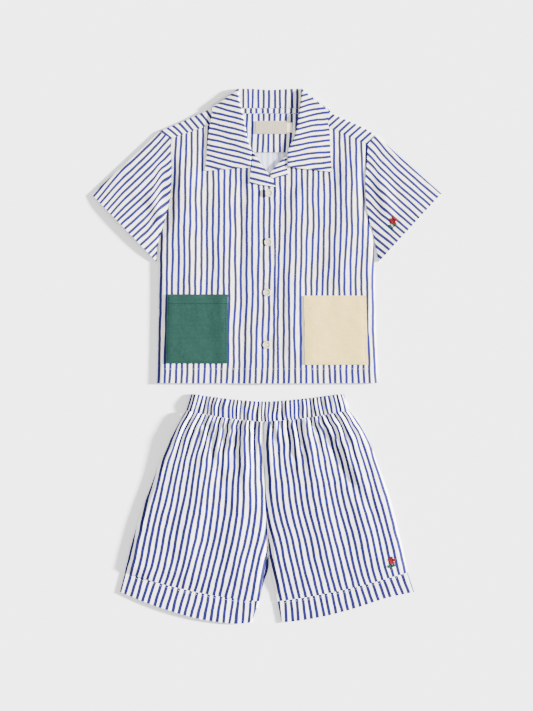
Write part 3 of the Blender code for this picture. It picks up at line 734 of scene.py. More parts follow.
SHIRT_FOLDS = (
    Fold(-112, 150, -126, 300, 34, 1.2),
    Fold(-58, 40, -66, 270, 30, 0.9),
    Fold(112, 160, 124, 300, 32, 1.1),
    Fold(34, 60, 46, 290, 28, 0.8),
    Fold(-170, 276, -158, 250, 18, 1.8),
    Fold(173, 300, 182, 262, 18, 1.8),
)
SHIRT_RIPPLES = (Ripple(0.35, 52, 1.5, 0.6), Ripple(0.14, 17, 4.2, 0.6))


@dataclass
class ShirtFront:
    """One front panel: side seam and armhole, yoke seam, neckline, lapel roll and front edge."""

    name: str
    node: str
    rows: tuple[FrontRow, ...]
    stripes: tuple[StripeRow, ...]
    intervals: int
    lapped: bool
    columns: int = 52
    refine: int = 5
    lap_foot: float = -39.5
    lap_top: float = -26.0
    collar_middle: float = 3.0
    collar_foot: tuple[float, float] = (262.0, 284.0)
    collar_reach: tuple[float, float] = (98.0, 114.0)
    yoke_foot: tuple[float, float] = (325.0, 350.0)
    armhole_foot: tuple[float, float] = (205.0, 225.0)
    puff: float = 2.1
    dimple: float = 0.9

    def stripe_at(self, x: float, y: float) -> float:
        """How many stripes lie between the panel's first stripe and a point."""
        first, last = look_up(self.stripes, y)
        return (x - first) / (last - first) * self.intervals

    def height(self, x: float, y: float, outer: float) -> float:
        """The height of the panel's middle at a point that is `outer` from its outer edge."""
        climb = LAYER * soft_step(x, self.lap_foot, self.lap_top) if self.lapped else 0.0
        quiet = 1.0 - soft_step(x, -45.0, -30.0) if self.lapped else soft_step(x, 22.0, 34.0)
        aside = abs(x - self.collar_middle)
        foot = mixed(*self.collar_foot, soft_step(aside, 28.0, 55.0))
        under_collar = soft_step(y, foot, foot + 28.0) * (1.0 - soft_step(aside, *self.collar_reach))
        under_yoke = soft_step(y, *self.yoke_foot)
        loose = (1.0 - under_collar) * (1.0 - under_yoke)
        quiet *= soft_step(outer, 0.0, 16.0) * (1.0 - 0.85 * under_collar)
        rim = RIM * (1.0 - soft_step(outer, 0.0, 4.0))
        armhole = soft_step(y, *self.armhole_foot)
        swell = soft_step(outer, 0.0, mixed(4.5, 14.0, armhole))
        puff = self.puff * mixed(1.0, 0.6, armhole) * swell * loose
        if self.lapped:
            near = min(hypot(x - bx, y - by) for bx, by in BUTTON_PLACES)
            puff -= self.dimple * (1.0 - soft_step(near, 4.5, 15.0))
        return level(1) + climb + puff - rim + quiet * relief(SHIRT_FOLDS, SHIRT_RIPPLES, x, y)

    def grid(self) -> Grid:
        """The panel's points, from its hem up and from its outer edge in."""
        grid = []
        for row in spread(self.rows, lambda r: int(r.steps) * self.refine):
            outer = Vector((row.outer_x, row.outer_y))
            inner = Vector((row.inner_x, row.inner_y))
            line = []
            for column in range(self.columns + 1):
                place = outer.lerp(inner, column / self.columns)
                away = (place - outer).length
                line.append(Vector((place.x, place.y, self.height(place.x, place.y, away))))
            grid.append(line)
        return grid

    def pattern(self, grid: Grid) -> Pattern:
        """The stripes' coordinates at the panel's points."""
        return [[(self.stripe_at(p.x, p.y), p.y / SHIRT_PITCH) for p in row] for row in grid]

    def make(self, finish: bpy.types.Material) -> bpy.types.Object:
        """Makes the panel."""
        grid = self.grid()
        obj = Cloth(SHIRT_HEM_Y).add(grid, self.pattern(grid)).make(self.name, finish)
        place_piece(obj, [self.node])
        return obj


FRONT_RIGHT = ShirtFront(
    name="front_right_cloth",
    node="shirt_front_right",
    rows=(
        FrontRow(-164.0, 0.5, 14.5, 0.0, 2),
        FrontRow(-163.0, 30.0, 14.5, 30.0, 5),
        FrontRow(-161.0, 134.0, 14.5, 134.0, 4),
        FrontRow(-161.5, 216.0, 14.5, 216.0, 1),
        FrontRow(-157.5, 229.0, 14.5, 230.0, 1),
        FrontRow(-151.5, 247.0, 14.5, 250.0, 1),
        FrontRow(-145.0, 274.0, 14.5, 272.0, 1),
        FrontRow(-143.0, 292.0, 14.5, 295.0, 1),
        FrontRow(-142.0, 311.0, 5.0, 312.0, 1),
        FrontRow(-142.0, 331.0, -8.0, 331.0, 1),
        FrontRow(-143.0, 346.0, -22.0, 349.5, 1),
        FrontRow(-143.5, 351.0, -31.0, 359.0, 1),
        FrontRow(-143.5, 356.5, -40.5, 371.0, 1),
        FrontRow(-143.5, 361.5, -50.0, 385.0, 1),
        FrontRow(-143.5, 367.0, -57.0, 397.5, 1),
    ),
    stripes=(
        StripeRow(0.0, -162.0, 9.2),
        StripeRow(17.3, -161.3, 10.1),
        StripeRow(140.3, -158.3, 12.8),
        StripeRow(237.8, -156.8, 13.1),
        StripeRow(305.3, -155.6, 12.5),
        StripeRow(350.3, -153.3, 11.3),
    ),
    intervals=20,
    lapped=True,
)
FRONT_LEFT = ShirtFront(
    name="front_left_cloth",
    node="shirt_front_left",
    rows=(
        FrontRow(165.5, 0.5, -11.0, 0.0, 2),
        FrontRow(165.5, 28.5, -11.0, 28.5, 5),
        FrontRow(162.0, 131.5, -11.0, 131.5, 4),
        FrontRow(161.0, 212.5, -11.0, 212.5, 1),
        FrontRow(158.5, 230.0, -11.0, 230.0, 1),
        FrontRow(154.0, 244.0, -11.0, 246.0, 1),
        FrontRow(149.5, 265.0, -11.0, 268.0, 1),
        FrontRow(148.0, 288.0, -11.0, 289.0, 1),
        FrontRow(148.0, 310.0, -1.5, 306.0, 1),
        FrontRow(150.0, 328.0, 11.0, 322.0, 1),
        FrontRow(151.0, 345.0, 31.5, 343.5, 1),
        FrontRow(151.3, 349.5, 35.0, 350.0, 1),
        FrontRow(151.5, 353.0, 40.5, 358.5, 1),
        FrontRow(151.7, 356.0, 50.0, 371.5, 1),
        FrontRow(152.0, 359.0, 67.0, 396.0, 1),
    ),
    stripes=(
        StripeRow(0.0, 17.0, 163.8),
        StripeRow(17.3, 17.0, 162.8),
        StripeRow(140.3, 17.3, 158.6),
        StripeRow(237.8, 20.0, 161.7),
        StripeRow(275.3, 20.3, 161.3),
        StripeRow(350.3, 20.1, 158.6),
    ),
    intervals=17,
    lapped=False,
)


@dataclass
class ShirtBack:
    """The back under the fronts, whose wrong side shows in the neck: its pale soft stripes are the cloth's
    own, and its greyer, darker ground is partly painted shade from the collar and lapels round the neck.
    """

    seam_row: int = 10
    columns: int = 48

    def make(self, finish: bpy.types.Material) -> bpy.types.Object:
        """Makes the back between the two side seams."""
        right = FRONT_RIGHT.grid()
        left = FRONT_LEFT.grid()
        last = sum(int(row.steps) for row in FRONT_RIGHT.rows[: self.seam_row]) * FRONT_RIGHT.refine
        grid: Grid = []
        pattern: Pattern = []
        for right_row, left_row in zip(right[: last + 1], left[: last + 1]):
            start, end = right_row[0], left_row[0]
            row = [start.lerp(end, c / self.columns) for c in range(self.columns + 1)]
            grid.append([Vector((p.x, p.y, level(0))) for p in row])
            pattern.append([((p.x - 2.0) / SHIRT_PITCH, p.y / SHIRT_PITCH) for p in row])
        obj = Cloth(SHIRT_HEM_Y).add(grid, pattern).make("back_cloth", finish)
        place_piece(obj, ["shirt_back"])
        return obj


@dataclass
class PatchPocket:
    """A patch pocket on a front, between two shares of its width and two heights.

    It follows the front as it lies `inward` of the front's outer edge.
    """

    name: str
    node: str
    front: ShirtFront
    near: float
    far: float
    low: float
    high: float
    slot: Slot
    lift: float = 1.15
    wide: float = 92.0
    tall: float = 104.0
    inward: float = 60.0
    rows: int = 34
    columns: int = 30

    def make(self, finish: bpy.types.Material) -> bpy.types.Object:
        """Makes the pocket on its front."""
        grid: Grid = []
        pattern: Pattern = []
        edges = self.corners()
        for row in unit_grid(self.rows, self.columns):
            line = []
            marks = []
            for along, across in row:
                low = edges[0].lerp(edges[1], across)
                high = edges[2].lerp(edges[3], across)
                place = low.lerp(high, along)
                place.x += 0.5 * uneven(place.x, place.y, 14, 7.7)
                place.y += 0.4 * uneven(place.x, place.y, 12, 9.1)
                inside = min(along, 1 - along) * self.tall, min(across, 1 - across) * self.wide
                puff = 0.35 * soft_step(min(inside), 0.0, 9.0)
                front = self.front.height(place.x, place.y, self.inward)
                line.append(Vector((place.x, place.y, front + self.lift + puff)))
                marks.append((place.x / SHIRT_PITCH, place.y / SHIRT_PITCH))
            grid.append(line)
            pattern.append(marks)
        obj = Cloth(SHIRT_HEM_Y).add(grid, pattern).make(self.name, finish, POCKET_CLOTH)
        place_piece(obj, [self.node])
        return obj

    def corners(self) -> list[Vector]:
        """The pocket's corners: low near, low far, high near and high far."""
        found = []
        for height in (self.low, self.high):
            keyed = [(r.outer_y, r.outer_x, r.inner_x) for r in self.front.rows]
            outer, inner = look_up(keyed, height)
            for share in (self.near, self.far):
                found.append(Vector((mixed(outer, inner, share), height)))
        return found


    def seam(self, inset: float) -> list[list[Vector]]:
        """Its lines of stitching, `inset` inside its two sides and its bottom."""
        low_near, low_far, high_near, high_far = self.corners()
        across = (low_far - low_near).normalized() * inset
        up = Vector((0.0, inset))
        ends = [high_near + across, low_near + across + up, low_far - across + up, high_far - across]
        return [[a, b] for a, b in zip(ends, ends[1:])]

    def hem(self, down: float) -> list[list[Vector]]:
        """The line of its top hem, `down` below its top edge."""
        low_near, low_far, high_near, high_far = self.corners()
        share = down / (self.high - self.low)
        return [[high_near.lerp(low_near, share), high_far.lerp(low_far, share)]]


POCKET_GREEN = PatchPocket(
    "pocket_green_cloth", "pocket_green", FRONT_RIGHT, 0.069, 0.589, 30.0, 133.8, Slot.GREEN
)
POCKET_CREAM = PatchPocket(
    "pocket_cream_cloth", "pocket_cream", FRONT_LEFT, 0.075, 0.61, 28.5, 131.5, Slot.CREAM
)


# Yoke and the inside of the neck.


class YokeRow(NamedTuple):
    """A section of a side of the yoke, from the back seam over the shoulder to the front seam."""

    back_x: float
    mid_x: float
    mid_y: float
    fold_x: float
    fold_y: float
    seam: float
    raised: float


class NeckRow(NamedTuple):
    """A section of the yoke behind the neck."""

    x: float
    back_y: float
    mid_y: float
    edge_y: float


YOKE_BACK_Y = 346.0
YOKE_RIGHT = (
    YokeRow(-143.0, -143.2, 367.0, -160.5, 378.5, 0.0, 0),
    YokeRow(-128.0, -129.0, 371.0, -141.0, 386.5, 0.2, 0),
    YokeRow(-107.0, -107.0, 382.0, -115.0, 398.0, 0.45, 0),
    YokeRow(-88.0, -87.5, 395.0, -89.5, 409.5, 0.68, 1),
    YokeRow(-73.0, -73.0, 396.5, -74.5, 415.5, 0.84, 1),
    YokeRow(-57.5, -57.5, 396.5, -63.5, 420.5, 1.0, 1),
)
YOKE_LEFT = (
    YokeRow(151.0, 151.7, 359.0, 163.5, 373.0, 0.0, 0),
    YokeRow(135.5, 137.0, 368.0, 145.0, 384.0, 0.2, 0),
    YokeRow(118.0, 118.0, 380.0, 127.5, 392.0, 0.42, 0),
    YokeRow(98.0, 99.0, 392.0, 102.5, 403.0, 0.65, 1),
    YokeRow(83.0, 84.0, 396.5, 85.0, 411.0, 0.83, 1),
    YokeRow(68.0, 68.0, 396.5, 73.5, 416.0, 1.0, 1),
)
YOKE_NECK = (
    NeckRow(-40.5, 346.0, 396.5, 412.6),
    NeckRow(5.0, 346.0, 396.5, 412.6),
    NeckRow(51.0, 346.0, 396.5, 412.6),
)


@dataclass
class Yoke:
    """The yoke, which wraps from the back over both shoulders to the front seams."""

    refine: int = 6
    under: int = 3
    front_steps: int = 8
    right_shift: float = 0.21
    right_lean: tuple[tuple[float, float], ...] = (
        (56.0, 55.0),
        (92.0, 54.0),
        (105.0, 50.0),
        (118.0, 49.0),
        (130.0, 47.0),
        (139.0, 43.0),
        (148.0, 40.0),
        (160.0, 38.0),
    )
    left_lean: tuple[tuple[float, float], ...] = ((66.0, 41.5), (152.0, 41.5))

    def stripe_at(self, side: int, x: float, y: float) -> float:
        """Where the stripes of the strip in front of the shoulder run: each meets a front's stripe at the
        seam, and leans out over the shoulder.

        Args:
            side: -1 for the right strip and 1 for the left one.
            x: the point's place across.
            y: the point's place up.
        """
        front = FRONT_RIGHT if side < 0 else FRONT_LEFT
        edge = front.rows[-1]
        rise = (edge.inner_y - edge.outer_y) / (edge.inner_x - edge.outer_x)
        lean = look_up(self.right_lean if side < 0 else self.left_lean, abs(x))[0]
        slope = side * tan(radians(lean))
        line = edge.outer_y + rise * (x - edge.outer_x)
        step = (y - line) / (slope - rise)
        seam_x = x - step
        shift = self.right_shift if side < 0 else 0.0
        return front.stripe_at(seam_x, edge.outer_y + rise * (seam_x - edge.outer_x)) - shift

    def side(self, rows: Sequence[YokeRow], front: ShirtFront, side: int) -> tuple[Grid, Pattern]:
        """One side's points and pattern, from its back seam over the fold to the front seam."""
        edge = front.rows[-1]
        start, end = Vector((edge.outer_x, edge.outer_y)), Vector((edge.inner_x, edge.inner_y))
        grid: Grid = []
        pattern: Pattern = []
        for row in spread(rows, lambda r: self.refine):
            lift = LAYER * min(max(row.raised, 0.0), 1.0)
            mid = Vector((row.mid_x, row.mid_y, level(0)))
            fold = Vector((row.fold_x, row.fold_y, level(0) + lift))
            shelf = (mid + fold) / 2
            shelf.z = fold.z
            seam = start.lerp(end, row.seam)
            front_edge = Vector((seam.x, seam.y + GAP, level(1)))
            back = Vector((row.back_x, YOKE_BACK_Y + GAP, level(0)))
            turn = fold_over(fold.xy, shelf.xy - fold.xy, fold.z, fold.z + LAYER, WALL)
            line = [back.lerp(mid, step / self.under) for step in range(self.under)]
            line += [mid.lerp(shelf, step / self.under) for step in range(self.under)]
            line += [shelf, *turn]
            for step in range(1, self.front_steps + 1):
                place = turn[-1].lerp(front_edge, step / self.front_steps)
                place.z += 0.25 * sin(pi * step / self.front_steps)
                line.append(place)
            grid.append(line)
            seams = len(line) - 1 - self.front_steps
            marks = []
            for index, place in enumerate(line):
                ahead = place if index >= seams else line[seams]
                marks.append((self.stripe_at(side, ahead.x, ahead.y), (place.y + index) / SHIRT_PITCH))
            pattern.append(marks)
        return grid, pattern

    def neck(self, before: list[Vector], after: list[Vector]) -> Grid:
        """The middle of the yoke, from the back seam to the neck edge, joined to the two sides."""
        grid = [before]
        for row in spread(YOKE_NECK, lambda r: self.refine):
            back = Vector((row.x, row.back_y + GAP, level(0)))
            mid = Vector((row.x, row.mid_y, level(0)))
            edge = Vector((row.x, row.edge_y, level(1)))
            shelf = Vector((row.x, (row.mid_y + row.edge_y) / 2, level(1)))
            line = [back.lerp(mid, step / self.under) for step in range(self.under)]
            line += [mid.lerp(shelf, step / self.under) for step in range(self.under)]
            grid.append(line + [shelf, edge])
        grid.append(after)
        return grid

    def make(self, finish: bpy.types.Material) -> bpy.types.Object:
        """Makes the whole yoke."""
        right, right_marks = self.side(YOKE_RIGHT, FRONT_RIGHT, -1)
        left, left_marks = self.side(YOKE_LEFT, FRONT_LEFT, 1)
        count = 2 * self.under + 2
        neck = self.neck(right[-1][:count], left[-1][:count])
        cloth = Cloth(SHIRT_HEM_Y).add(right, right_marks).add(left, left_marks)
        cloth.add(neck, [[(p.x / SHIRT_PITCH, p.y / SHIRT_PITCH) for p in row] for row in neck])
        obj = cloth.make("yoke_cloth", finish)
        place_piece(obj, ["shirt_yoke"])
        return obj


class LiningRow(NamedTuple):
    """A section of the yoke's lining."""

    y: float
    left_x: float
    right_x: float
    raised: float


@dataclass
class NeckInside:
    """What shows inside the neck: the yoke's lining, the binding, the blank label and the blank tab."""

    lining: tuple[LiningRow, ...] = (
        LiningRow(404.5, -48.0, 60.0, 1),
        LiningRow(396.5, -50.0, 62.0, 0),
        LiningRow(384.0, -46.0, 57.0, 0),
        LiningRow(371.0, -38.0, 47.5, 0),
        LiningRow(359.0, -29.0, 38.0, 0),
        LiningRow(350.0, -20.5, 32.5, 0),
        LiningRow(346.6, -18.0, 31.0, 0),
    )
    binding: tuple[float, float, float, float] = (-41.0, 52.0, 405.2, 412.4)
    label: tuple[float, float, float, float] = (-16.0, 29.7, 374.5, 393.5)
    tab: tuple[float, float, float, float] = (30.1, 38.5, 376.5, 391.0)
    first_stripe: float = -29.15
    first_y: float = 396.0
    lean: float = -0.03
    pitch: float = 8.3
    refine: int = 5
    columns: int = 30

    def stripe_at(self, x: float, y: float) -> float:
        """Which stripe of the lining a point lies on."""
        return (x - self.first_stripe - (self.first_y - y) * self.lean) / self.pitch

    def make_lining(self, finish: bpy.types.Material) -> bpy.types.Object:
        """Makes the lining behind the neck."""
        grid: Grid = []
        for row in spread(self.lining, lambda r: self.refine):
            raised = min(max(row.raised, 0.0), 1.0)
            start = Vector((row.left_x, row.y, level(1 + raised)))
            end = Vector((row.right_x, row.y, level(1 + raised)))
            line = [start.lerp(end, c / self.columns) for c in range(self.columns + 1)]
            grid.append([Vector((p.x, p.y, p.z + 0.12 * uneven(p.x, p.y, 20, 2.2))) for p in line])
        pattern = [[(self.stripe_at(p.x, p.y), p.y / SHIRT_PITCH) for p in row] for row in grid]
        obj = Cloth(SHIRT_HEM_Y).add(grid, pattern).make("yoke_inside", finish)
        place_piece(obj, ["yoke_lining"])
        return obj

    def make_patch(
        self,
        name: str,
        node: str,
        box: tuple[float, float, float, float],
        finish: bpy.types.Material,
        pitch: float,
        first: float,
    ) -> bpy.types.Object:
        """Makes a small flat patch: the binding, the label or the tab.

        Args:
            name: the piece's name.
            node: the node that it stands for.
            box: its left, right, lower and upper edges.
            finish: its material.
            pitch: the width of one unit of its pattern.
            first: where the pattern's zero lies across.
        """
        left, right, low, high = box
        rows = max(4, int((high - low) / 2))
        columns = max(4, int((right - left) / 2.5))
        grid: Grid = []
        for line in unit_grid(rows, columns):
            row = []
            for along, across in line:
                x, y = mixed(left, right, across), mixed(low, high, along)
                edge = min(along, 1 - along, across, 1 - across)
                lift = 0.12 * uneven(x, y, 9, 6.0) + 0.12 * soft_step(edge, 0.0, 0.2)
                row.append(Vector((x, y, level(2) + lift)))
            grid.append(row)
        pattern = [[((p.x - first) / pitch, p.y / pitch) for p in row] for row in grid]
        obj = Cloth(SHIRT_HEM_Y).add(grid, pattern).make(name, finish)
        place_piece(obj, [node])
        return obj

    def make(self, finishes: Finishes) -> list[bpy.types.Object]:
        """Makes every piece inside the neck."""
        return [
            self.make_lining(finishes.inside),
            self.make_patch(
                "neck_binding", "neck_tape", self.binding, finishes.inside, 8.6, -23.3
            ),
            self.make_patch(
                "neck_label_cloth", "neck_label", self.label, finishes.linen, SHIRT_PITCH, 0.0
            ),
            self.make_patch("size_tab_cloth", "size_tab", self.tab, finishes.tab, SHIRT_PITCH, 0.0),
        ]


# Collar and lapels.


class CollarRow(NamedTuple):
    """A section of the collar, with its neck seam, its folded edge and its free edge."""

    roll_x: float
    roll_y: float
    edge_x: float
    edge_y: float
    neck_x: float
    neck_y: float
    neck_z: float
    edge_z: float
    middle: float
    radius: float
    turn: float
    steps: float


class WingStripe(NamedTuple):
    """Where the first and last stripes of a wing cross a line up the wing."""

    x: float
    first_y: float
    last_y: float


COLLAR = (
    CollarRow(-24.0, 324.0, -92.5, 319.0, -28.5, 324.0, 4.4, 3.2, 5.1, 0.7, 180, 2),
    CollarRow(-22.5, 341.0, -91.0, 331.0, -27.0, 341.0, 4.4, 3.2, 5.1, 0.7, 180, 2),
    CollarRow(-23.0, 350.5, -90.0, 340.0, -27.5, 352.0, 4.3, 3.2, 5.2, 0.8, 180, 2),
    CollarRow(-28.0, 366.5, -89.0, 350.5, -37.5, 369.5, 3.2, 3.2, 5.1, 1.0, 180, 2),
    CollarRow(-31.5, 384.0, -88.0, 363.0, -48.6, 385.0, 3.1, 3.2, 5.1, 1.1, 180, 2),
    CollarRow(-34.5, 400.0, -86.5, 376.0, -55.3, 396.5, 3.7, 3.3, 5.4, 1.15, 180, 2),
    CollarRow(-37.5, 413.5, -84.5, 389.0, -57.8, 405.5, 4.2, 3.7, 5.55, 1.15, 180, 2),
    CollarRow(-40.5, 425.0, -82.5, 399.5, -60.0, 413.0, 3.7, 4.3, 5.55, 1.15, 180, 2),
    CollarRow(-41.5, 435.0, -81.5, 406.5, -61.2, 419.5, 3.3, 4.5, 5.3, 1.15, 180, 1),
    CollarRow(-41.6, 439.5, -81.6, 411.0, -61.0, 421.4, 3.1, 4.6, 5.0, 1.15, 160, 1),
    CollarRow(-41.5, 441.0, -81.4, 415.5, -60.0, 422.5, 2.9, 4.2, 4.3, 1.15, 125, 1),
    CollarRow(-41.3, 441.8, -81.2, 417.0, -57.5, 422.0, 2.8, 2.3, 3.4, 1.15, 90, 1),
    CollarRow(-41.0, 442.2, -79.8, 416.3, -52.5, 419.3, 2.8, 0.7, 2.5, 1.15, 50, 1),
    CollarRow(-40.0, 442.4, -66.8, 408.3, -46.0, 416.5, 2.8, 0.5, 1.9, 1.15, 20, 1),
    CollarRow(-37.0, 442.5, -46.0, 407.3, -38.5, 413.3, 2.8, 0.5, 1.65, 1.15, 0, 2),
    CollarRow(-17.0, 442.0, -19.0, 407.0, -17.0, 413.3, 2.8, 0.5, 1.65, 1.15, 0, 2),
    CollarRow(5.0, 440.5, 5.0, 407.0, 5.0, 413.3, 2.8, 0.5, 1.65, 1.15, 0, 2),
    CollarRow(29.0, 441.8, 29.0, 407.0, 29.0, 413.3, 2.8, 0.5, 1.65, 1.15, 0, 2),
    CollarRow(49.0, 442.5, 57.5, 407.3, 50.0, 413.3, 2.8, 0.5, 1.65, 1.15, 0, 1),
    CollarRow(51.8, 442.5, 80.0, 407.3, 57.8, 415.8, 2.8, 0.5, 1.9, 1.15, 20, 1),
    CollarRow(52.7, 442.3, 94.5, 410.0, 63.5, 418.8, 2.8, 0.7, 2.5, 1.15, 50, 1),
    CollarRow(53.2, 441.8, 96.5, 410.2, 68.5, 420.8, 2.8, 2.3, 3.4, 1.15, 90, 1),
    CollarRow(53.3, 441.0, 96.8, 409.0, 70.2, 420.0, 2.9, 4.2, 4.3, 1.15, 125, 1),
    CollarRow(53.0, 439.5, 94.6, 405.0, 71.0, 418.6, 3.1, 4.6, 5.0, 1.15, 160, 1),
    CollarRow(52.5, 435.0, 93.0, 400.5, 70.8, 414.8, 3.5, 4.4, 5.3, 1.15, 180, 2),
    CollarRow(51.0, 425.0, 92.3, 394.0, 69.6, 408.0, 4.0, 3.9, 5.5, 1.15, 180, 2),
    CollarRow(49.2, 413.5, 93.0, 386.0, 67.8, 400.5, 4.2, 3.5, 5.55, 1.15, 180, 2),
    CollarRow(47.5, 400.0, 94.6, 376.0, 62.8, 391.0, 3.7, 3.2, 5.3, 1.15, 180, 2),
    CollarRow(45.5, 385.0, 95.3, 363.5, 54.5, 379.0, 3.2, 3.2, 4.8, 1.1, 180, 2),
    CollarRow(40.0, 367.0, 95.7, 351.0, 46.3, 367.8, 3.1, 3.2, 4.4, 1.0, 180, 2),
    CollarRow(32.5, 351.3, 96.8, 338.0, 37.5, 351.5, 3.1, 3.2, 3.9, 0.8, 180, 2),
    CollarRow(31.5, 341.3, 97.5, 329.0, 36.0, 341.0, 3.1, 3.2, 3.8, 0.7, 180, 2),
    CollarRow(32.0, 324.8, 98.5, 317.3, 36.5, 324.5, 3.1, 3.2, 3.8, 0.7, 180, 2),
)


@dataclass
class Collar:
    """The camp collar, one band from the right point round the neck to the left one."""

    refine: int = 3
    stand_steps: int = 5
    roll_steps: int = 8
    fall_steps: int = 18
    centre: tuple[float, float] = (5.0, 405.0)
    right_wing: tuple[WingStripe, ...] = (
        WingStripe(-92.3, 442.5, 334.4),
        WingStripe(-77.3, 439.4, 331.1),
        WingStripe(-57.8, 434.3, 326.3),
        WingStripe(-39.8, 429.8, 321.9),
        WingStripe(-21.8, 423.8, 316.8),
    )
    left_wing: tuple[WingStripe, ...] = (
        WingStripe(32.3, 416.3, 323.3),
        WingStripe(50.3, 421.5, 326.3),
        WingStripe(68.3, 426.8, 329.3),
        WingStripe(87.8, 429.8, 330.8),
        WingStripe(102.8, 431.3, 332.3),
    )
    wing_stripes: tuple[int, int] = (13, 12)
    back_stripes: tuple[tuple[float, float], ...] = (
        (-42.7, -1.0),
        (-35.1, 0.0),
        (-20.4, 2.0),
        (-4.4, 4.0),
        (12.4, 6.0),
        (28.7, 8.0),
        (46.4, 10.0),
        (53.0, 10.9),
    )

    def section(self, row: CollarRow) -> list[Vector]:
        """The points of one section: stand, roll and fall."""
        roll = Vector((row.roll_x, row.roll_y))
        edge = Vector((row.edge_x, row.edge_y))
        neck = Vector((row.neck_x, row.neck_y))
        inward = ((edge - roll).normalized() + (neck - roll).normalized()).normalized()
        side = Vector((-inward.y, inward.x))
        if side.dot(Vector(self.centre) - roll) < 0:
            side = -side
        turn = radians(row.turn)
        normal = Vector((side.x * sin(turn), side.y * sin(turn), cos(turn)))
        flat = roll + inward * (row.radius + WALL / 2)
        middle = Vector((flat.x, flat.y, row.middle))
        axis = Vector((inward.x, inward.y, 0.0))
        arc = []
        for step in range(self.roll_steps + 1):
            angle = pi * step / self.roll_steps
            arc.append(middle + row.radius * (normal * cos(angle) - axis * sin(angle)))
        start = Vector((neck.x, neck.y, row.neck_z))
        end = Vector((edge.x, edge.y, row.edge_z))
        stand = [start.lerp(arc[0], step / self.stand_steps) for step in range(self.stand_steps)]
        fall = []
        over = soft_step(row.turn, 120, 180)
        for step in range(1, self.fall_steps + 1):
            share = step / self.fall_steps
            place = arc[-1].lerp(end, share)
            place.z += over * 0.3 * max(0.0, uneven(place.x, place.y, 26, 8.8) + 0.3) * sin(pi * share)
            fall.append(place)
        return stand + arc + fall

    def wing_stripe(self, x: float, y: float, right: bool) -> float:
        """Which stripe of a wing a point lies on."""
        rows = self.right_wing if right else self.left_wing
        first, last = look_up(rows, x)
        return (first - y) / (first - last) * self.wing_stripes[0 if right else 1]

    def make(self, finish: bpy.types.Material) -> bpy.types.Object:
        """Makes the collar."""
        rows = spread(COLLAR, lambda r: int(r.steps) * self.refine)
        grid = [self.section(row) for row in rows]
        pattern: Pattern = []
        for row, line in zip(rows, grid):
            right = row.roll_x < self.centre[0]
            wing = soft_step(row.turn, 20, 150)
            marks = []
            reach = 0.0
            for index, place in enumerate(line):
                if index:
                    reach += (place - line[index - 1]).length
                back = look_up(self.back_stripes, place.x)[0]
                across = mixed(back, self.wing_stripe(place.x, place.y, right), wing)
                marks.append((across, reach / SHIRT_PITCH))
            pattern.append(marks)
        obj = Cloth(SHIRT_HEM_Y).add(grid, pattern).make("collar_cloth", finish)
        place_piece(obj, ["collar"])
        return obj


class LapelRow(NamedTuple):
    """A section of a lapel, from its roll line to its free edge."""

    roll_x: float
    roll_y: float
    edge_x: float
    edge_y: float


@dataclass
class Lapel:
    """A turned-back facing beside a collar point."""

    name: str
    node: str
    rows: tuple[LapelRow, ...]
    layer: int
    lean: float
    start: tuple[float, float]
    pitch: float
    columns: int = 14
    refine: int = 6

    def stripe_at(self, x: float, y: float) -> float:
        """Which stripe a point lies on."""
        return (self.start[1] - y + self.lean * (x - self.start[0])) / self.pitch

    def make(self, finish: bpy.types.Material) -> bpy.types.Object:
        """Makes the lapel, a sheet from its roll line to its free edge, raised softly across its middle."""
        grid: Grid = []
        for row in spread(self.rows, lambda r: self.refine):
            roll = Vector((row.roll_x, row.roll_y, level(self.layer)))
            edge = Vector((row.edge_x, row.edge_y, level(self.layer)))
            line = []
            for column in range(self.columns + 1):
                share = column / self.columns
                place = roll.lerp(edge, share)
                place.z += 0.35 * sin(pi * share) - 0.25 * share
                line.append(place)
            grid.append(line)
        pattern = [[(self.stripe_at(p.x, p.y), p.x / SHIRT_PITCH) for p in row] for row in grid]
        obj = Cloth(SHIRT_HEM_Y).add(grid, pattern).make(self.name, finish)
        place_piece(obj, [self.node])
        return obj


LAPEL_RIGHT = Lapel(
    "lapel_right_cloth",
    "lapel_right",
    (
        LapelRow(-20.0, 346.8, -21.2, 346.4),
        LapelRow(-15.8, 341.0, -21.2, 340.5),
        LapelRow(-6.5, 328.0, -22.6, 325.0),
        LapelRow(4.2, 312.8, -24.5, 311.3),
        LapelRow(13.8, 295.2, -25.5, 300.5),
    ),
    layer=3,
    lean=-0.25,
    start=(-21.8, 334.5),
    pitch=8.9,
)
LAPEL_LEFT = Lapel(
    "lapel_left_cloth",
    "lapel_left",
    (
        LapelRow(28.7, 340.4, 30.5, 340.0),
        LapelRow(18.5, 331.0, 30.8, 333.0),
        LapelRow(10.0, 321.0, 31.2, 322.8),
        LapelRow(5.8, 314.3, 31.8, 317.3),
        LapelRow(9.8, 306.8, 32.7, 313.0),
    ),
    layer=2,
    lean=0.32,
    start=(27.8, 335.6),
    pitch=7.7,
)


# Sleeves.


class SleeveStripe(NamedTuple):
    """Where the first stripe of a sleeve crosses a line up it, and how far apart the stripes are there."""

    x: float
    first_y: float
    pitch: float


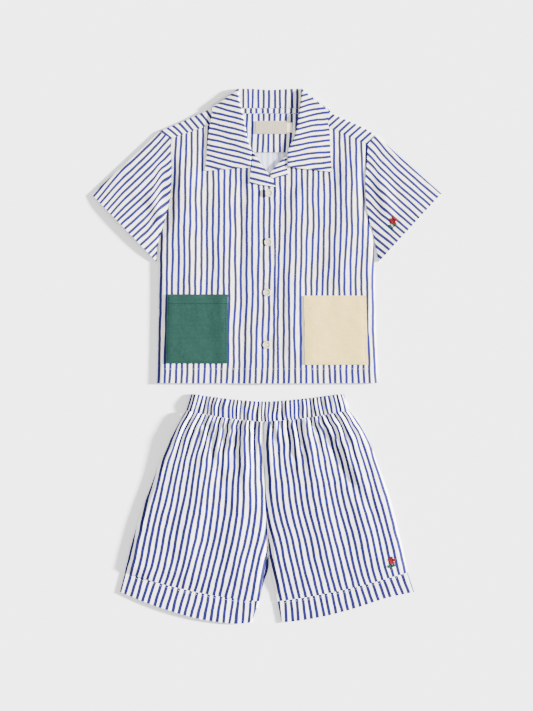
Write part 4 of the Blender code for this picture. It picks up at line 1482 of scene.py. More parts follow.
@dataclass
class Sleeve:
    """A short sleeve, a flat tube from the armhole to its hem, folded along its top."""

    name: str
    node: str
    front: ShirtFront
    outward: int
    tip: tuple[float, float]
    hem: tuple[tuple[float, float], tuple[float, float]]
    stripes: tuple[SleeveStripe, ...]
    kink: float
    kink_away: float
    kink_low: float
    kink_high: float
    stations: int = 28
    columns: int = 36
    loft: float = 2.2
    ease: float = 0.6
    slack: float = 0.2
    kink_width: float = 8.0
    kink_fade: float = 25.0

    def head(self) -> list[Vector]:
        """Points down the armhole, from the shoulder tip to the armpit."""
        rows = spread(self.front.rows, lambda r: int(r.steps))
        armpit = sum(int(row.steps) for row in self.front.rows[:3])
        down = [Vector((row.outer_x, row.outer_y)) for row in rows[armpit:]][::-1]
        points = [Vector(self.tip)] + down
        points = [Vector((p.x + self.outward * (GAP + self.slack), p.y)) for p in points]
        points[-1].x += self.outward * self.ease
        return points

    def stripe_at(self, x: float, y: float) -> float:
        """Which stripe a point lies on. The stripes shift where a soft fold runs beside the armhole."""
        first, pitch = look_up(self.stripes, x)
        edge = look_up([(r.outer_y, r.outer_x) for r in self.front.rows], y)[0]
        away = (x - edge) * self.outward
        reach = (away - self.kink_away) / self.kink_width
        rise = soft_step(y, self.kink_low, self.kink_low + self.kink_fade)
        fall = 1 - soft_step(y, self.kink_high - self.kink_fade, self.kink_high)
        bend = self.kink * (rise * fall) * (1 - soft_step(abs(reach), 0.0, 1.6))
        return (first + bend - y) / pitch

    def make(self, finish: bpy.types.Material) -> bpy.types.Object:
        """Makes the sleeve."""
        head = self.head()
        grid: Grid = []
        pattern: Pattern = []
        for station in range(self.stations + 1):
            along = station / self.stations
            top = head[0].lerp(Vector(self.hem[0]), along)
            under = head[-1].lerp(Vector(self.hem[1]), along)
            fade = (1 - along) ** 2
            row = []
            for column in range(self.columns + 1):
                share = column / self.columns
                line = head[0].lerp(head[-1], share)
                row.append(top.lerp(under, share) + (curve_point(head, share) - line) * fade)
            lower = [Vector((p.x, p.y, level(0))) for p in row]
            upper = []
            for column, place in enumerate(row):
                share = column / self.columns
                hump = 4 * share * (1 - share)
                lift = self.loft * hump * (0.35 + 0.65 * along)
                lift += min(1.0, 2 * hump) * relief(SHIRT_FOLDS, SHIRT_RIPPLES, place.x, place.y)
                upper.append(Vector((place.x, place.y, level(1) + lift)))
            grid.append(tube_ring(row, lower, upper))
            marks = []
            for place in grid[-1]:
                marks.append((self.stripe_at(place.x, place.y), place.x / SHIRT_PITCH))
            pattern.append(marks + [marks[0]])
        obj = Cloth(SHIRT_HEM_Y).add(grid, pattern, closed=True).make(self.name, finish)
        place_piece(obj, [self.node])
        return obj


SLEEVE_RIGHT = Sleeve(
    name="sleeve_right_cloth",
    node="sleeve_right",
    front=FRONT_RIGHT,
    outward=-1,
    tip=(-161.0, 378.0),
    hem=((-262.0, 283.5), (-165.0, 182.5)),
    stripes=(
        SleeveStripe(-257.4, 282.6, 11.25),
        SleeveStripe(-219.8, 326.7, 11.3),
        SleeveStripe(-197.3, 348.0, 11.4),
        SleeveStripe(-174.8, 370.5, 11.57),
        SleeveStripe(-147.8, 399.6, 11.6),
        SleeveStripe(-141.8, 405.8, 11.6),
    ),
    kink=4.5,
    kink_away=15.0,
    kink_low=225.0,
    kink_high=340.0,
)
SLEEVE_LEFT = Sleeve(
    name="sleeve_left_cloth",
    node="sleeve_left",
    front=FRONT_LEFT,
    outward=1,
    tip=(164.0, 372.5),
    hem=((262.5, 285.0), (168.0, 182.0)),
    stripes=(
        SleeveStripe(147.8, 393.8, 11.6),
        SleeveStripe(155.3, 387.3, 11.6),
        SleeveStripe(167.3, 375.3, 11.5),
        SleeveStripe(176.3, 364.5, 11.25),
        SleeveStripe(185.3, 354.0, 11.0),
        SleeveStripe(200.3, 338.6, 10.8),
        SleeveStripe(230.3, 312.0, 10.8),
        SleeveStripe(261.0, 285.8, 10.8),
    ),
    kink=-1.8,
    kink_away=20.0,
    kink_low=235.0,
    kink_high=360.0,
)


# Buttons.


@dataclass
class Buttons:
    """Four-hole buttons down the right front's edge, sewn on with thread."""

    places: tuple[tuple[float, float], ...] = BUTTON_PLACES
    radius: float = 5.75
    height: float = 1.5
    shank: float = 0.5
    bottom: float = level(2) + WALL / 2 + GAP + shank
    rim: float = 1.5
    slope: float = 0.6
    dish: float = 0.4
    flat: float = 0.5
    soft: float = 0.35
    hole: float = 0.75
    hole_away: float = 1.35
    hole_depth: float = 8.0
    thread: float = 0.2
    thread_away: float = 0.22

    def blank(self, name: str, x: float, y: float) -> bpy.types.Object:
        """Turns one button from a disc: a rounded rim round a dished middle."""
        bpy.ops.object.select_all(action="DESELECT")
        middle = Vector((x, y + SHIRT_HEM_Y, self.bottom + self.height / 2)) * MM
        bpy.ops.mesh.primitive_cylinder_add(
            vertices=48, radius=self.radius * MM, depth=self.height * MM, location=middle
        )
        obj = bpy.context.active_object
        obj.name = name
        obj.data.name = name
        bpy.ops.object.mode_set(mode="EDIT")
        bpy.ops.mesh.select_all(action="DESELECT")
        mesh = bmesh.from_edit_mesh(obj.data)
        for face in mesh.faces:
            face.select_set(face.normal.z > 0.9)
        bmesh.update_edit_mesh(obj.data)
        bpy.ops.mesh.inset(thickness=self.rim * MM)
        bpy.ops.mesh.inset(thickness=self.slope * MM)
        bpy.ops.transform.translate(value=(0, 0, -self.dish * MM))
        bpy.ops.mesh.inset(thickness=self.flat * MM)
        bpy.ops.object.mode_set(mode="OBJECT")
        soft = obj.modifiers.new("Soft", "BEVEL")
        soft.width = self.soft * MM
        soft.segments = 3
        soft.limit_method = "ANGLE"
        soft.angle_limit = radians(30)
        apply_modifiers(obj)
        bpy.ops.object.transform_apply(location=True, rotation=True, scale=True)
        return obj

    def drill(self, obj: bpy.types.Object, x: float, y: float) -> None:
        """Cuts the four holes."""
        for across in (-1, 1):
            for up in (-1, 1):
                bpy.ops.object.select_all(action="DESELECT")
                hole_x = x + across * self.hole_away
                hole_y = y + SHIRT_HEM_Y + up * self.hole_away
                place = Vector((hole_x, hole_y, self.bottom)) * MM
                bpy.ops.mesh.primitive_cylinder_add(
                    vertices=16, radius=self.hole * MM, depth=self.hole_depth * MM, location=place
                )
                cutter = bpy.context.active_object
                cut = obj.modifiers.new("Hole", "BOOLEAN")
                cut.object = cutter
                cut.operation = "DIFFERENCE"
                cut.solver = "EXACT"
                apply_modifiers(obj)
                bpy.data.objects.remove(cutter)

    def strands(self, x: float, y: float) -> list[list[Vector]]:
        """The threads of one button, two side by side through each pair of holes."""
        top = self.bottom + self.height - self.dish
        low = self.bottom - self.dish
        found = []
        for across in (-1, 1):
            for side in (-self.thread_away, self.thread_away):
                line = x + across * self.hole_away + side
                path = [
                    Vector((line, y - self.hole_away, low)),
                    Vector((line, y - self.hole_away + 0.1, top - 0.15)),
                    Vector((line, y, top + 0.12)),
                    Vector((line, y + self.hole_away - 0.1, top - 0.15)),
                    Vector((line, y + self.hole_away, low)),
                ]
                found.append(path)
        return found

    def make(self, finishes: Finishes) -> None:
        """Makes the buttons and the thread through them."""
        for number, (x, y) in enumerate(self.places, start=1):
            obj = self.blank(f"button_{number}_turned", x, y)
            self.drill(obj, x, y)
            activate(obj)
            bpy.ops.object.shade_smooth_by_angle(angle=radians(40))
            obj.data.materials.clear()
            obj.data.materials.append(finishes.button)
            place_piece(obj, [f"button_{number}"])
        strands = [strand for x, y in self.places for strand in self.strands(x, y)]
        Stitches("button_thread", self.thread).tubes(strands, finishes.thread_white)


# Stitching. No stitch runs along the skew direction, so each has a clear side.

SKEW = Vector((0.123, 0.257, 1.0))


@dataclass
class Stitches:
    """Runs of sewing thread, each stitch a small rounded tube."""

    name: str
    radius: float = 0.24
    length: float = 2.3
    space: float = 1.0
    sides: int = 5
    tip: float = 0.35
    sink: float = 0.15
    swell: float = 0.12
    above: float = 60.0

    def tubes(self, paths: Sequence[Sequence[Vector]], finish: bpy.types.Material) -> bpy.types.Object:
        """Makes one piece of tubes that follow paths in the shirt's millimetres."""
        mesh = bmesh.new()
        for path in paths:
            self.tube(mesh, [Vector((p.x, p.y + SHIRT_HEM_Y, p.z)) for p in path])
        return self.finish(mesh, finish)

    def tube(self, mesh: bmesh.types.BMesh, path: Sequence[Vector]) -> None:
        """Adds one closed tube along a path in the part's millimetres."""
        rings = []
        for index, point in enumerate(path):
            ahead = (path[min(index + 1, len(path) - 1)] - path[max(index - 1, 0)]).normalized()
            side = ahead.cross(SKEW).normalized()
            up = side.cross(ahead)
            thin = self.tip if index in (0, len(path) - 1) else 1.0
            ring = []
            for number in range(self.sides):
                angle = 2 * pi * number / self.sides
                away = (side * cos(angle) + up * sin(angle)) * self.radius * thin
                ring.append(mesh.verts.new((point + away) * MM))
            rings.append(ring)
        for ring, following in zip(rings, rings[1:]):
            for number in range(self.sides):
                other = (number + 1) % self.sides
                mesh.faces.new([ring[number], ring[other], following[other], following[number]])
        mesh.faces.new(rings[0][::-1])
        mesh.faces.new(rings[-1])

    def finish(self, mesh: bmesh.types.BMesh, finish: bpy.types.Material) -> bpy.types.Object:
        """Closes the mesh into a piece."""
        bmesh.ops.recalc_face_normals(mesh, faces=mesh.faces)
        data = bpy.data.meshes.new(self.name)
        mesh.to_mesh(data)
        mesh.free()
        obj = bpy.data.objects.new(self.name, data)
        bpy.context.scene.collection.objects.link(obj)
        data.materials.append(finish)
        activate(obj)
        bpy.ops.object.shade_smooth_by_angle(angle=radians(70))
        place_piece(obj)
        return obj

    def run(
        self,
        lines: Sequence[Sequence[Vector]],
        origin_y: float,
        ground: Sequence[bpy.types.Object],
        finish: bpy.types.Material,
    ) -> bpy.types.Object:
        """Sews even stitches along lines. The arguments are those of sew."""
        pairs = []
        for line in lines:
            total = sum((b - a).length for a, b in zip(line, line[1:]))
            count = max(1, round(total / (self.length + self.space)))
            part = self.length / (self.length + self.space) / count
            for number in range(count):
                start = number / count
                pairs.append((curve_point(line, start), curve_point(line, start + part)))
        return self.sew(pairs, origin_y, ground, finish)

    def sew(
        self,
        pairs: Sequence[tuple[Vector, Vector]],
        origin_y: float,
        ground: Sequence[bpy.types.Object],
        finish: bpy.types.Material,
    ) -> bpy.types.Object:
        """Sews one stitch between each two points, on the cloth that lies under it.

        An end that lies past the cloth is left off.

        Args:
            pairs: the stitches' ends, in a garment's millimetres.
            origin_y: where that garment's zero lies.
            ground: the pieces that the stitches lie on.
            finish: the thread.
        """
        graph = bpy.context.evaluated_depsgraph_get()
        trees = [BVHTree.FromObject(obj, graph) for obj in ground]
        down = Vector((0.0, 0.0, -1.0))
        mesh = bmesh.new()
        for start, end in pairs:
            path = []
            for share, rise in ((0.0, -self.sink), (0.5, self.swell), (1.0, -self.sink)):
                flat = start.lerp(end, share)
                above = Vector((flat.x, flat.y + origin_y, self.above))
                hits = [tree.ray_cast(above * MM, down)[0] for tree in trees]
                heights = [hit.z / MM for hit in hits if hit is not None]
                if heights:
                    path.append(Vector((above.x, above.y, max(heights) + rise)))
            if len(path) > 1:
                self.tube(mesh, path)
        return self.finish(mesh, finish)


@dataclass
class Sprig:
    """A small embroidered sprig: a flower of five petals on a stem with two leaves."""

    name: str
    place: tuple[float, float]
    origin_y: float
    petals: int = 5
    petal: tuple[float, float] = (0.6, 7.0)
    eyes: tuple[tuple[float, float], ...] = ((1.6, 0.3), (-0.3, 1.6))
    head: float = 5.0
    stem: float = 15.0
    leaf: float = 8.0
    leaves: tuple[tuple[float, float], ...] = ((0.62, 32.0), (0.74, 148.0))
    fan: float = 8.0

    def strands(self, root: Vector, aim: float, start: float, end: float) -> list[tuple[Vector, Vector]]:
        """Seven stitches side by side that leave a root, aimed at an angle in degrees."""
        found = []
        for step in range(-3, 4):
            lean, reach = self.fan * step, 1.0 - 0.025 * step**2
            way = Vector((cos(radians(aim + lean)), sin(radians(aim + lean))))
            found.append((root + way * start, root + way * (start + (end - start) * reach)))
        return found

    def make(self, ground: bpy.types.Object, finishes: Finishes) -> None:
        """Embroiders the sprig on a piece."""
        middle = Vector(self.place)
        head = middle + Vector((0.0, self.head))
        foot = head - Vector((0.6, self.stem))
        flower = []
        for number in range(self.petals):
            flower += self.strands(head, 90 + 360 * number / self.petals, *self.petal)
        for eye in self.eyes:
            flower.append((head - Vector(eye), head + Vector(eye)))
        bend = head.lerp(foot, 0.55) + Vector((0.5, 0.0))
        green = [(head - Vector((0.0, 1.6)), bend), (bend, foot)]
        for share, aim in self.leaves:
            green += self.strands(head.lerp(foot, share), aim, 0.3, self.leaf)
        satin = Stitches(f"{self.name}_flower", 0.7)
        satin.sew(flower, self.origin_y, [ground], finishes.thread_red)
        satin = Stitches(f"{self.name}_leaves", 0.6)
        satin.sew(green, self.origin_y, [ground], finishes.thread_leaf)


@dataclass
class Sewing:
    """The seams' stitches that show: the hem, the pockets, the buttonholes and the cuffs."""

    finishes: Finishes
    hem_y: float = 21.8
    hem_ends: tuple[float, float] = (-159.0, 162.0)
    pocket_inset: float = 2.8
    pocket_hem: float = 14.0
    hole_side: float = 0.85
    hole_run: tuple[float, float] = (3.0, 14.0)
    cuff_drop: float = 3.4

    def shirt(self, right: bpy.types.Object, left: bpy.types.Object) -> None:
        """Sews the shirt's hem and the buttonholes."""
        line = [Vector((self.hem_ends[0], self.hem_y)), Vector((self.hem_ends[1], self.hem_y))]
        hem = Stitches("hem_thread", 0.2, 1.9, 1.6)
        hem.run([line], SHIRT_HEM_Y, [right, left], self.finishes.thread_white)
        low, high = self.hole_run
        lines = []
        for x, y in Buttons.places:
            for side in (-self.hole_side, self.hole_side):
                lines.append([Vector((x - 1.0 + side, y + low)), Vector((x - 1.0 + side, y + high))])
            lines.append([Vector((x - 2.2, y + high)), Vector((x + 0.2, y + high))])
        # The buttonholes' stitches use the grey thread, whose darkness partly paints the shade in their
        # slits.
        holes = Stitches("buttonhole_thread", 0.28, 1.0, 0.25)
        holes.run(lines, SHIRT_HEM_Y, [right], self.finishes.thread_grey_and_shade)

    def pockets(self, green: bpy.types.Object, cream: bpy.types.Object) -> None:
        """Sews the pockets' edges, and the green one's top hem."""
        edge = Stitches("pocket_green_thread", 0.32, 2.2, 1.5)
        edge.run(POCKET_GREEN.seam(self.pocket_inset), SHIRT_HEM_Y, [green], self.finishes.thread_pine)
        hem = Stitches("pocket_hem_thread", 0.34, 2.6, 0.5)
        hem.run(POCKET_GREEN.hem(self.pocket_hem), SHIRT_HEM_Y, [green], self.finishes.thread_green)
        edge = Stitches("pocket_cream_thread", 0.24, 1.9, 1.5)
        edge.run(POCKET_CREAM.seam(self.pocket_inset), SHIRT_HEM_Y, [cream], self.finishes.thread_cream)

    def cuff(self, name: str, seam: Sequence[Vector], cuff: bpy.types.Object) -> None:
        """Sews along a cuff, just below its seam."""
        line = [Vector((p.x, p.y - self.cuff_drop)) for p in seam[3:-3:6]]
        run = Stitches(name, 0.24, 1.8, 1.7)
        run.run([line], SHORTS_HEM_Y, [cuff], self.finishes.thread_white)


# Shorts.


class LegRow(NamedTuple):
    """A section of a leg, from its side edge to the seam between the legs."""

    outer_x: float
    outer_y: float
    inner_x: float
    inner_y: float
    bow: float
    loft: float
    peek: float


LEG_FOLDS = (
    Fold(-92, 250, -120, 110, 30, 1.2),
    Fold(-40, 230, -48, 90, 26, 0.9),
    Fold(70, 240, 92, 100, 30, 1.2),
    Fold(128, 220, 150, 120, 26, 1.0),
    Fold(87, 283, 125, 216, 13, -1.9),
    Fold(125, 216, 160, 169, 15, -1.2),
    Fold(103, 283, 146, 205, 14, 1.0),
    Fold(-92, 300, -86, 279, 9, -1.2),
    Fold(-60, 302, -66, 261, 10, -1.6),
    Fold(-80, 258, -69, 216, 12, -1.1),
    Fold(-20, 300, -14, 237, 10, -1.4),
    Fold(-29, 232, -22, 180, 14, 1.1),
    Fold(62, 312, 76, 295, 8, -1.2),
    Fold(30, 300, 44, 246, 9, -1.0),
)
LEG_RIPPLES = (Ripple(0.5, 46, 11.5, 0.5), Ripple(0.16, 15, 14.2, 0.5))


@dataclass
class Leg:
    """One leg of the shorts: a gathered front panel over a flat back one, and its turned cuff."""

    side: str
    rows: tuple[LegRow, ...]
    stripes: tuple[StripeRow, ...]
    intervals: int
    hem: tuple[tuple[float, float], ...]
    cuff_marks: tuple[float, float]
    cuff_lean: float
    beyond: float
    refine: int = 7
    columns: int = 66
    gathers: int = 11
    gather: float = 2.6
    puff: float = 0.4
    edge_puff: float = 3.3
    gather_width: float = 0.62
    crumple: float = 1.1
    crumpled: tuple[float, float] = (225.0, 290.0)
    crotch: tuple[float, float] = (115.0, 165.0)
    back_columns: int = 30
    cuff_rows: int = 10
    seed: float = 0.0

    def stripe_at(self, x: float, y: float) -> float:
        """Which stripe a point lies on, counted from the seam between the legs."""
        first, last = look_up(self.stripes, y)
        return (x - first) / (last - first) * self.intervals

    def gather_at(self, share: float, depth: float, strength: float) -> float:
        """The height of the waistband's gathers.

        Args:
            share: how far across the panel, from its side edge.
            depth: how far below the waist seam, in millimetres.
            strength: the height of a gather here, where none has faded.
        """
        found = 0.0
        for number in range(self.gathers):
            shift = 0.34 * noise.noise(Vector((number * 1.7, self.seed, 0.5)))
            big = 1.0 + 0.9 * noise.noise(Vector((number * 2.3, self.seed, 3.5)))
            long = 1.0 + 0.9 * noise.noise(Vector((number * 3.1, self.seed, 6.5)))
            lean = 0.012 * noise.noise(Vector((number * 1.3, self.seed, 9.5))) * depth / 10
            centre = (number + 0.5 + shift) / self.gathers + lean
            away = abs(share - centre) * self.gathers
            if away < self.gather_width:
                fade = 1 - soft_step(depth, 10.0 * long, 85.0 * long)
                found += strength * big * fade * (0.5 + 0.5 * cos(pi * away / self.gather_width))
        return found

    def front_grid(self) -> tuple[Grid, Pattern]:
        """The front panel's points and pattern."""
        grid: Grid = []
        pattern: Pattern = []
        top = self.rows[0]
        for row in spread(self.rows, lambda r: self.refine):
            outer = Vector((row.outer_x, row.outer_y))
            inner = Vector((row.inner_x, row.inner_y))
            depth = hypot(row.inner_y - top.inner_y, row.inner_x - top.inner_x)
            line = []
            for column in range(self.columns + 1):
                share = column / self.columns
                hump = 4 * share * (1 - share)
                place = outer.lerp(inner, share)
                place.y -= row.bow * hump
                wide = (inner - outer).length
                sewn = 0.3 * (1.0 - soft_step((1 - share) * wide, 0.0, 9.0))
                free = 1.0 - soft_step((1 - share) * wide, 0.0, 6.0)
                inside = 1.0 - mixed(free, sewn, soft_step(place.y, *self.crotch))
                height = level(1) + self.puff * row.loft * min(1.0, 1.6 * hump)
                height += self.edge_puff * soft_step(share * wide, 0.0, 6.0) * inside * min(1.0, row.loft)
                height += relief(LEG_FOLDS, LEG_RIPPLES, place.x, place.y) * min(1.0, 2 * hump)
                height += self.gather_at(share, depth, self.gather) * min(1.0, 6 * hump)
                crumple = max(0.0, uneven(place.x * 1.6, place.y * 0.7, 11, 31.7) + 0.15)
                height += self.crumple * crumple * soft_step(place.y, *self.crumpled) * min(1.0, 4 * hump)
                rim = RIM * (1 - soft_step(share, 0.0, 0.03))
                line.append(Vector((place.x, place.y, height - rim)))
            grid.append(line)
            pattern.append(self.marks(line))
        return grid, pattern

    def marks(self, line: Sequence[Vector]) -> list[tuple[float, float]]:
        """The pattern along a row: gathers take up cloth, so its stripes crowd on their slopes."""
        reach = [0.0]
        last = len(line) - 1
        for index, (a, b) in enumerate(zip(line, line[1:])):
            inside = soft_step(min(index, last - index) / last, 0.04, 0.12)
            rise = (b.z - a.z) * 1.25 * inside
            reach.append(reach[-1] + hypot((b.xy - a.xy).length, rise))
        found = []
        for place, along in zip(line, reach):
            x = mixed(line[0].x, line[-1].x, along / reach[-1])
            wander = 2.4 * soft_step(place.y, 215.0, 300.0) * uneven(place.x, place.y * 0.55, 15, 21.3)
            number = min(self.stripe_at(x + wander, place.y), self.intervals + self.beyond)
            found.append((number, place.y / SHORTS_PITCH))
        return found

    def make_panels(self, finish: bpy.types.Material) -> tuple[bpy.types.Object, Grid]:
        """Makes the leg's front and back panels, and gives the front's points."""
        grid, pattern = self.front_grid()
        front = Cloth(SHORTS_HEM_Y).add(grid, pattern).make(f"leg_front_{self.side}_cloth", finish)
        place_piece(front, [f"shorts_front_{self.side}"])
        back: Grid = []
        for row in spread(self.rows, lambda r: self.refine):
            outer = Vector((row.outer_x, row.outer_y))
            inner = Vector((row.inner_x + row.peek, row.inner_y))
            line = []
            for column in range(self.back_columns + 1):
                share = column / self.back_columns
                place = outer.lerp(inner, share)
                place.y -= row.bow * 4 * share * (1 - share)
                line.append(Vector((place.x, place.y, level(0))))
            back.append(line)
        marks = [[(self.stripe_at(p.x, p.y) + 0.5, p.y / SHORTS_PITCH) for p in line] for line in back]
        under = Cloth(SHORTS_HEM_Y).add(back, marks).make(f"leg_back_{self.side}_cloth", finish)
        place_piece(under, [f"shorts_back_{self.side}"])
        return front, grid

    def make_cuff(self, seam: Sequence[Vector], finish: bpy.types.Material) -> bpy.types.Object:
        """Makes the cuff, a flat ring below the leg's last row."""
        start = [Vector((p.x, p.y - GAP)) for p in seam]
        turned = start[0].x > start[-1].x
        if turned:
            start.reverse()
        last = len(start) - 1
        grid: Grid = []
        pattern: Pattern = []
        for step in range(self.cuff_rows + 1):
            down = step / self.cuff_rows
            row = [p.lerp(curve_point(self.hem, c / last), down) for c, p in enumerate(start)]
            lower = [Vector((p.x, p.y, level(0))) for p in row]
            upper = []
            for column, place in enumerate(row):
                share = column / last
                hump = 4 * share * (1 - share)
                bulge = 0.3 * sin(pi * down) + 0.12 * uneven(place.x, place.y, 12, 3.3)
                lift = (0.4 + 1.0 * down) * hump + min(1.0, 3 * hump) * bulge
                upper.append(Vector((place.x, place.y, level(1) + lift)))
            grid.append(tube_ring(row, lower, upper))
            ring = share_ring([c / last for c in range(last + 1)])
            marks = []
            for share, place in zip(ring, grid[-1]):
                start_mark, end_mark = self.cuff_marks
                tilt = self.cuff_lean * (down - 0.5) * (1 - share if turned else share) ** 2
                marks.append((mixed(start_mark, end_mark, share) + tilt, place.y / SHORTS_PITCH))
            pattern.append(marks + [marks[0]])
        obj = Cloth(SHORTS_HEM_Y).add(grid, pattern, closed=True).make(f"cuff_{self.side}_cloth", finish)
        place_piece(obj, [f"cuff_{self.side}"])
        return obj


LEG_RIGHT = Leg(
    side="right",
    rows=(
        LegRow(-120.3, 320.0, -4.0, 303.0, 2.5, 0.6, 0.0),
        LegRow(-132.8, 298.5, -3.8, 282.0, 2.5, 1.6, 0.0),
        LegRow(-147.8, 268.5, -3.6, 253.5, 3.0, 2.2, 0.0),
        LegRow(-161.0, 238.5, -3.3, 225.0, 3.0, 2.4, 0.0),
        LegRow(-176.0, 198.8, -2.6, 187.5, 3.0, 2.4, 0.0),
        LegRow(-186.8, 169.5, -1.2, 165.0, 3.0, 2.2, 0.0),
        LegRow(-194.0, 147.6, 0.4, 144.0, 3.0, 2.0, 0.0),
        LegRow(-202.5, 118.5, 1.8, 117.0, 3.0, 1.8, 0.0),
        LegRow(-208.5, 93.0, -1.5, 85.5, 3.5, 1.4, 4.5),
        LegRow(-210.8, 84.8, -6.5, 63.0, 5.0, 0.8, 2.5),
        LegRow(-212.3, 77.3, -10.8, 34.0, 6.5, 0.1, 0.0),
    ),
    stripes=(
        StripeRow(36.0, -32.3, -205.4),
        StripeRow(96.0, -20.3, -188.6),
        StripeRow(126.0, -12.8, -182.3),
        StripeRow(156.0, -8.0, -176.3),
        StripeRow(186.0, -6.5, -168.8),
        StripeRow(216.0, -8.0, -161.3),
        StripeRow(246.0, -8.3, -153.8),
        StripeRow(276.0, -9.8, -143.3),
        StripeRow(297.0, -9.8, -134.3),
        StripeRow(318.0, -8.3, -123.0),
    ),
    intervals=18,
    hem=((-219.8, 48.0), (-167.0, 27.0), (-106.7, 9.0), (-52.5, 0.5), (-22.5, 2.0)),
    cuff_marks=(0.05, 22.05),
    cuff_lean=-1.05,
    beyond=2.5,
    seed=2.5,
)
LEG_LEFT = Leg(
    side="left",
    rows=(
        LegRow(123.8, 320.0, -3.6, 303.0, 2.5, 0.6, 0.0),
        LegRow(140.3, 298.5, -3.4, 282.0, 2.5, 1.6, 0.0),
        LegRow(155.7, 268.5, -3.2, 253.5, 3.0, 2.2, 0.0),
        LegRow(167.3, 238.5, -2.9, 225.0, 3.0, 2.4, 0.0),
        LegRow(181.5, 198.8, -2.2, 187.5, 3.0, 2.4, 0.0),
        LegRow(190.2, 169.5, -0.8, 165.0, 3.0, 2.2, 0.0),
        LegRow(195.8, 147.6, 1.2, 144.0, 3.0, 2.0, 0.0),
        LegRow(202.5, 118.5, 3.4, 117.0, 3.0, 1.8, 0.0),
        LegRow(208.2, 93.0, 5.9, 88.0, 3.0, 1.4, 0.0),
        LegRow(210.0, 84.8, 9.8, 66.0, 4.0, 0.8, 0.0),
        LegRow(211.5, 77.5, 16.5, 34.0, 5.0, 0.1, 0.0),
    ),
    stripes=(
        StripeRow(36.0, 40.7, 217.7),
        StripeRow(96.0, 26.6, 203.3),
        StripeRow(126.0, 20.6, 195.8),
        StripeRow(156.0, 12.5, 188.3),
        StripeRow(186.0, 7.1, 179.3),
        StripeRow(216.0, 5.0, 170.3),
        StripeRow(246.0, 2.3, 161.3),
        StripeRow(276.0, 0.8, 150.8),
        StripeRow(297.0, 2.3, 140.0),
        StripeRow(318.0, 4.5, 125.3),
    ),
    intervals=19,
    hem=((22.7, 1.8), (61.0, 6.5), (98.0, 14.0), (134.3, 24.0), (179.6, 38.7), (221.7, 48.0)),
    cuff_marks=(-1.0, 20.9),
    cuff_lean=0.6,
    beyond=0.5,
    seed=7.5,
)


@dataclass
class Waistband:
    """The elastic waistband, a flat gathered ring above the seam of the two legs."""

    top: tuple[tuple[float, float], ...] = (
        (-112.8, 345.0),
        (-80.0, 339.0),
        (-46.5, 334.0),
        (1.8, 330.8),
        (62.0, 336.3),
        (116.3, 345.0),
    )
    wall: float = 1.6
    peek: float = 2.5
    skip: int = 2
    marks: tuple[float, float] = (-18.9, 19.8)
    rows: int = 12
    ribs: int = 22
    rib: float = 1.5

    def rib_at(self, share: float, up: float) -> float:
        """How far the elastic's ribs lift the cloth, from 0 to 1."""
        turn = self.ribs * share + 0.5 * noise.noise(Vector((share * 14, up * 0.6, 2.7)))
        return 0.5 + 0.5 * cos(2 * pi * turn)

    def make(self, seam: Sequence[Vector], finish: bpy.types.Material) -> bpy.types.Object:
        """Makes the waistband above the seam, whose points run from the right side edge to the left one."""
        low = self.wall / 2
        high = low + self.wall + GAP
        last = len(seam) - 1
        grid: Grid = []
        pattern: Pattern = []
        for step in range(self.rows + 1):
            up = step / self.rows
            row = []
            for column, point in enumerate(seam):
                start = Vector((point.x, point.y + GAP))
                row.append(start.lerp(curve_point(self.top, column / last), up))
            lower = []
            upper = []
            for column, place in enumerate(row):
                share = column / last
                hump = 4 * share * (1 - share)
                place.y += 0.7 * self.rib_at(share, up) * up**4 * min(1.0, 8 * hump)
                lower.append(Vector((place.x, place.y + self.peek * hump * up, low)))
                ridge = (seam[column].z - level(1)) * 0.75
                pinch = 0.55 + 0.45 * sin(pi * up)
                lift = ridge * 0.55 * pinch + self.rib * self.rib_at(share, up) * (0.5 + 0.5 * sin(pi * up))
                lift *= min(1.0, 8 * hump)
                upper.append(Vector((place.x, place.y, high + max(lift, 0.0))))
            grid.append(tube_ring(row, lower, upper, self.wall, self.skip))
            reach = [0.0]
            for a, b in zip(upper, upper[1:]):
                reach.append(reach[-1] + hypot((b.xy - a.xy).length, (b.z - a.z) * 1.2))
            ring = share_ring([value / reach[-1] for value in reach], self.skip)
            marks = []
            for share, place in zip(ring, grid[-1]):
                sway = 0.4 * noise.noise(Vector((share * 12, up * 0.9, 6.3)))
                marks.append((mixed(*self.marks, share) + sway, place.y / SHORTS_PITCH))
            pattern.append(marks + [marks[0]])
        cloth = Cloth(SHORTS_HEM_Y).add(grid, pattern, closed=True)
        obj = cloth.make("waistband_cloth", finish, BAND_CLOTH)
        place_piece(obj, ["waistband"])
        return obj


# Studio.


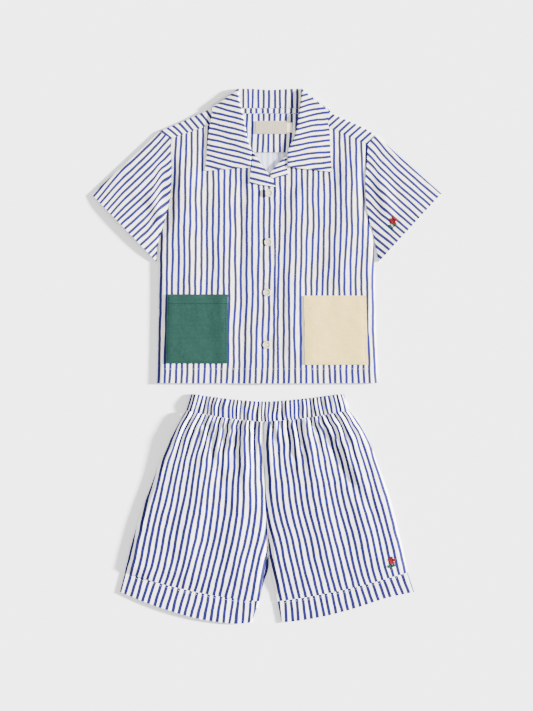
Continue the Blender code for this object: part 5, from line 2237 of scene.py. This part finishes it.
@dataclass
class Studio:
    """A pale floor, soft light and a long lens straight above."""

    height_px: int = 711
    mm_per_px: float = 1.5
    distance: float = 6.0
    centre_y: float = 1.5
    sensor: float = 36.0
    floor_size: float = 8.0
    floor_drop: float = 0.2
    ambient: float = 1.75
    sun_part: float = 3.45
    sun_height: float = 12.5
    sun_side: float = 6.0
    sun_spread: float = 4.5
    sun_away: float = 3.0

    def make(self, finish: bpy.types.Material) -> None:
        """Makes the floor, the lights and the camera."""
        bpy.ops.object.select_all(action="DESELECT")
        bpy.ops.mesh.primitive_plane_add(size=self.floor_size, location=(0, 0, -self.floor_drop * MM))
        floor = bpy.context.active_object
        floor.name = "floor"
        floor.data.materials.append(finish)
        world = bpy.data.worlds.new("soft_daylight")
        world.use_nodes = True
        world.node_tree.nodes["Background"].inputs["Color"].default_value = (1, 1, 1, 1)
        world.node_tree.nodes["Background"].inputs["Strength"].default_value = self.ambient
        bpy.context.scene.world = world
        self.sun()
        camera = bpy.data.cameras.new("camera")
        camera.sensor_width = self.sensor
        camera.lens = self.sensor * self.distance / (self.height_px * self.mm_per_px * MM)
        camera.clip_end = 50.0
        seen = bpy.data.objects.new("camera", camera)
        seen.location = (0.0, self.centre_y * MM, self.distance)
        bpy.context.scene.collection.objects.link(seen)
        bpy.context.scene.camera = seen

    def sun(self) -> None:
        """Adds the low soft light from the right, which gives `sun_part` of the floor's light."""
        light = bpy.data.lights.new("low_window", "SUN")
        light.energy = self.sun_part * pi / sin(radians(self.sun_height))
        light.angle = radians(self.sun_spread)
        obj = bpy.data.objects.new("low_window", light)
        level_x, level_y = cos(radians(self.sun_side)), sin(radians(self.sun_side))
        rise = tan(radians(self.sun_height))
        place = Vector((level_x, level_y, rise)) * self.sun_away
        obj.location = place
        obj.rotation_euler = (-place).to_track_quat("-Z", "Y").to_euler()
        bpy.context.scene.collection.objects.link(obj)


def main() -> None:
    """Builds every piece in order."""
    logging.basicConfig(level=logging.INFO, format="%(name)s: %(message)s")
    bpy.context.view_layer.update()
    finishes = Finishes()
    ShirtBack().make(finishes.wrong_side_and_shade)
    right = FRONT_RIGHT.make(finishes.shirt)
    left = FRONT_LEFT.make(finishes.shirt)
    green = POCKET_GREEN.make(finishes.green)
    cream = POCKET_CREAM.make(finishes.cream)
    Yoke().make(finishes.shirt)
    NeckInside().make(finishes)
    Collar().make(finishes.shirt)
    LAPEL_RIGHT.make(finishes.shirt)
    LAPEL_LEFT.make(finishes.shirt)
    SLEEVE_RIGHT.make(finishes.shirt)
    sleeve = SLEEVE_LEFT.make(finishes.shirt)
    Buttons().make(finishes)
    sewing = Sewing(finishes)
    sewing.shirt(right, left)
    sewing.pockets(green, cream)
    Sprig("sleeve_sprig", (189.8, 239.3), SHIRT_HEM_Y).make(sleeve, finishes)
    seams = []
    for leg in (LEG_RIGHT, LEG_LEFT):
        panel, grid = leg.make_panels(finishes.shorts)
        cuff = leg.make_cuff(grid[-1], finishes.shorts)
        sewing.cuff(f"cuff_{leg.side}_thread", grid[-1], cuff)
        seams.append(grid[0])
    Sprig("shorts_sprig", (187.5, 90.0), SHORTS_HEM_Y).make(panel, finishes)
    Waistband().make(seams[0] + seams[1][-2::-1], finishes.band)
    Studio().make(finishes.floor)


if __name__ == "__main__":
    main()
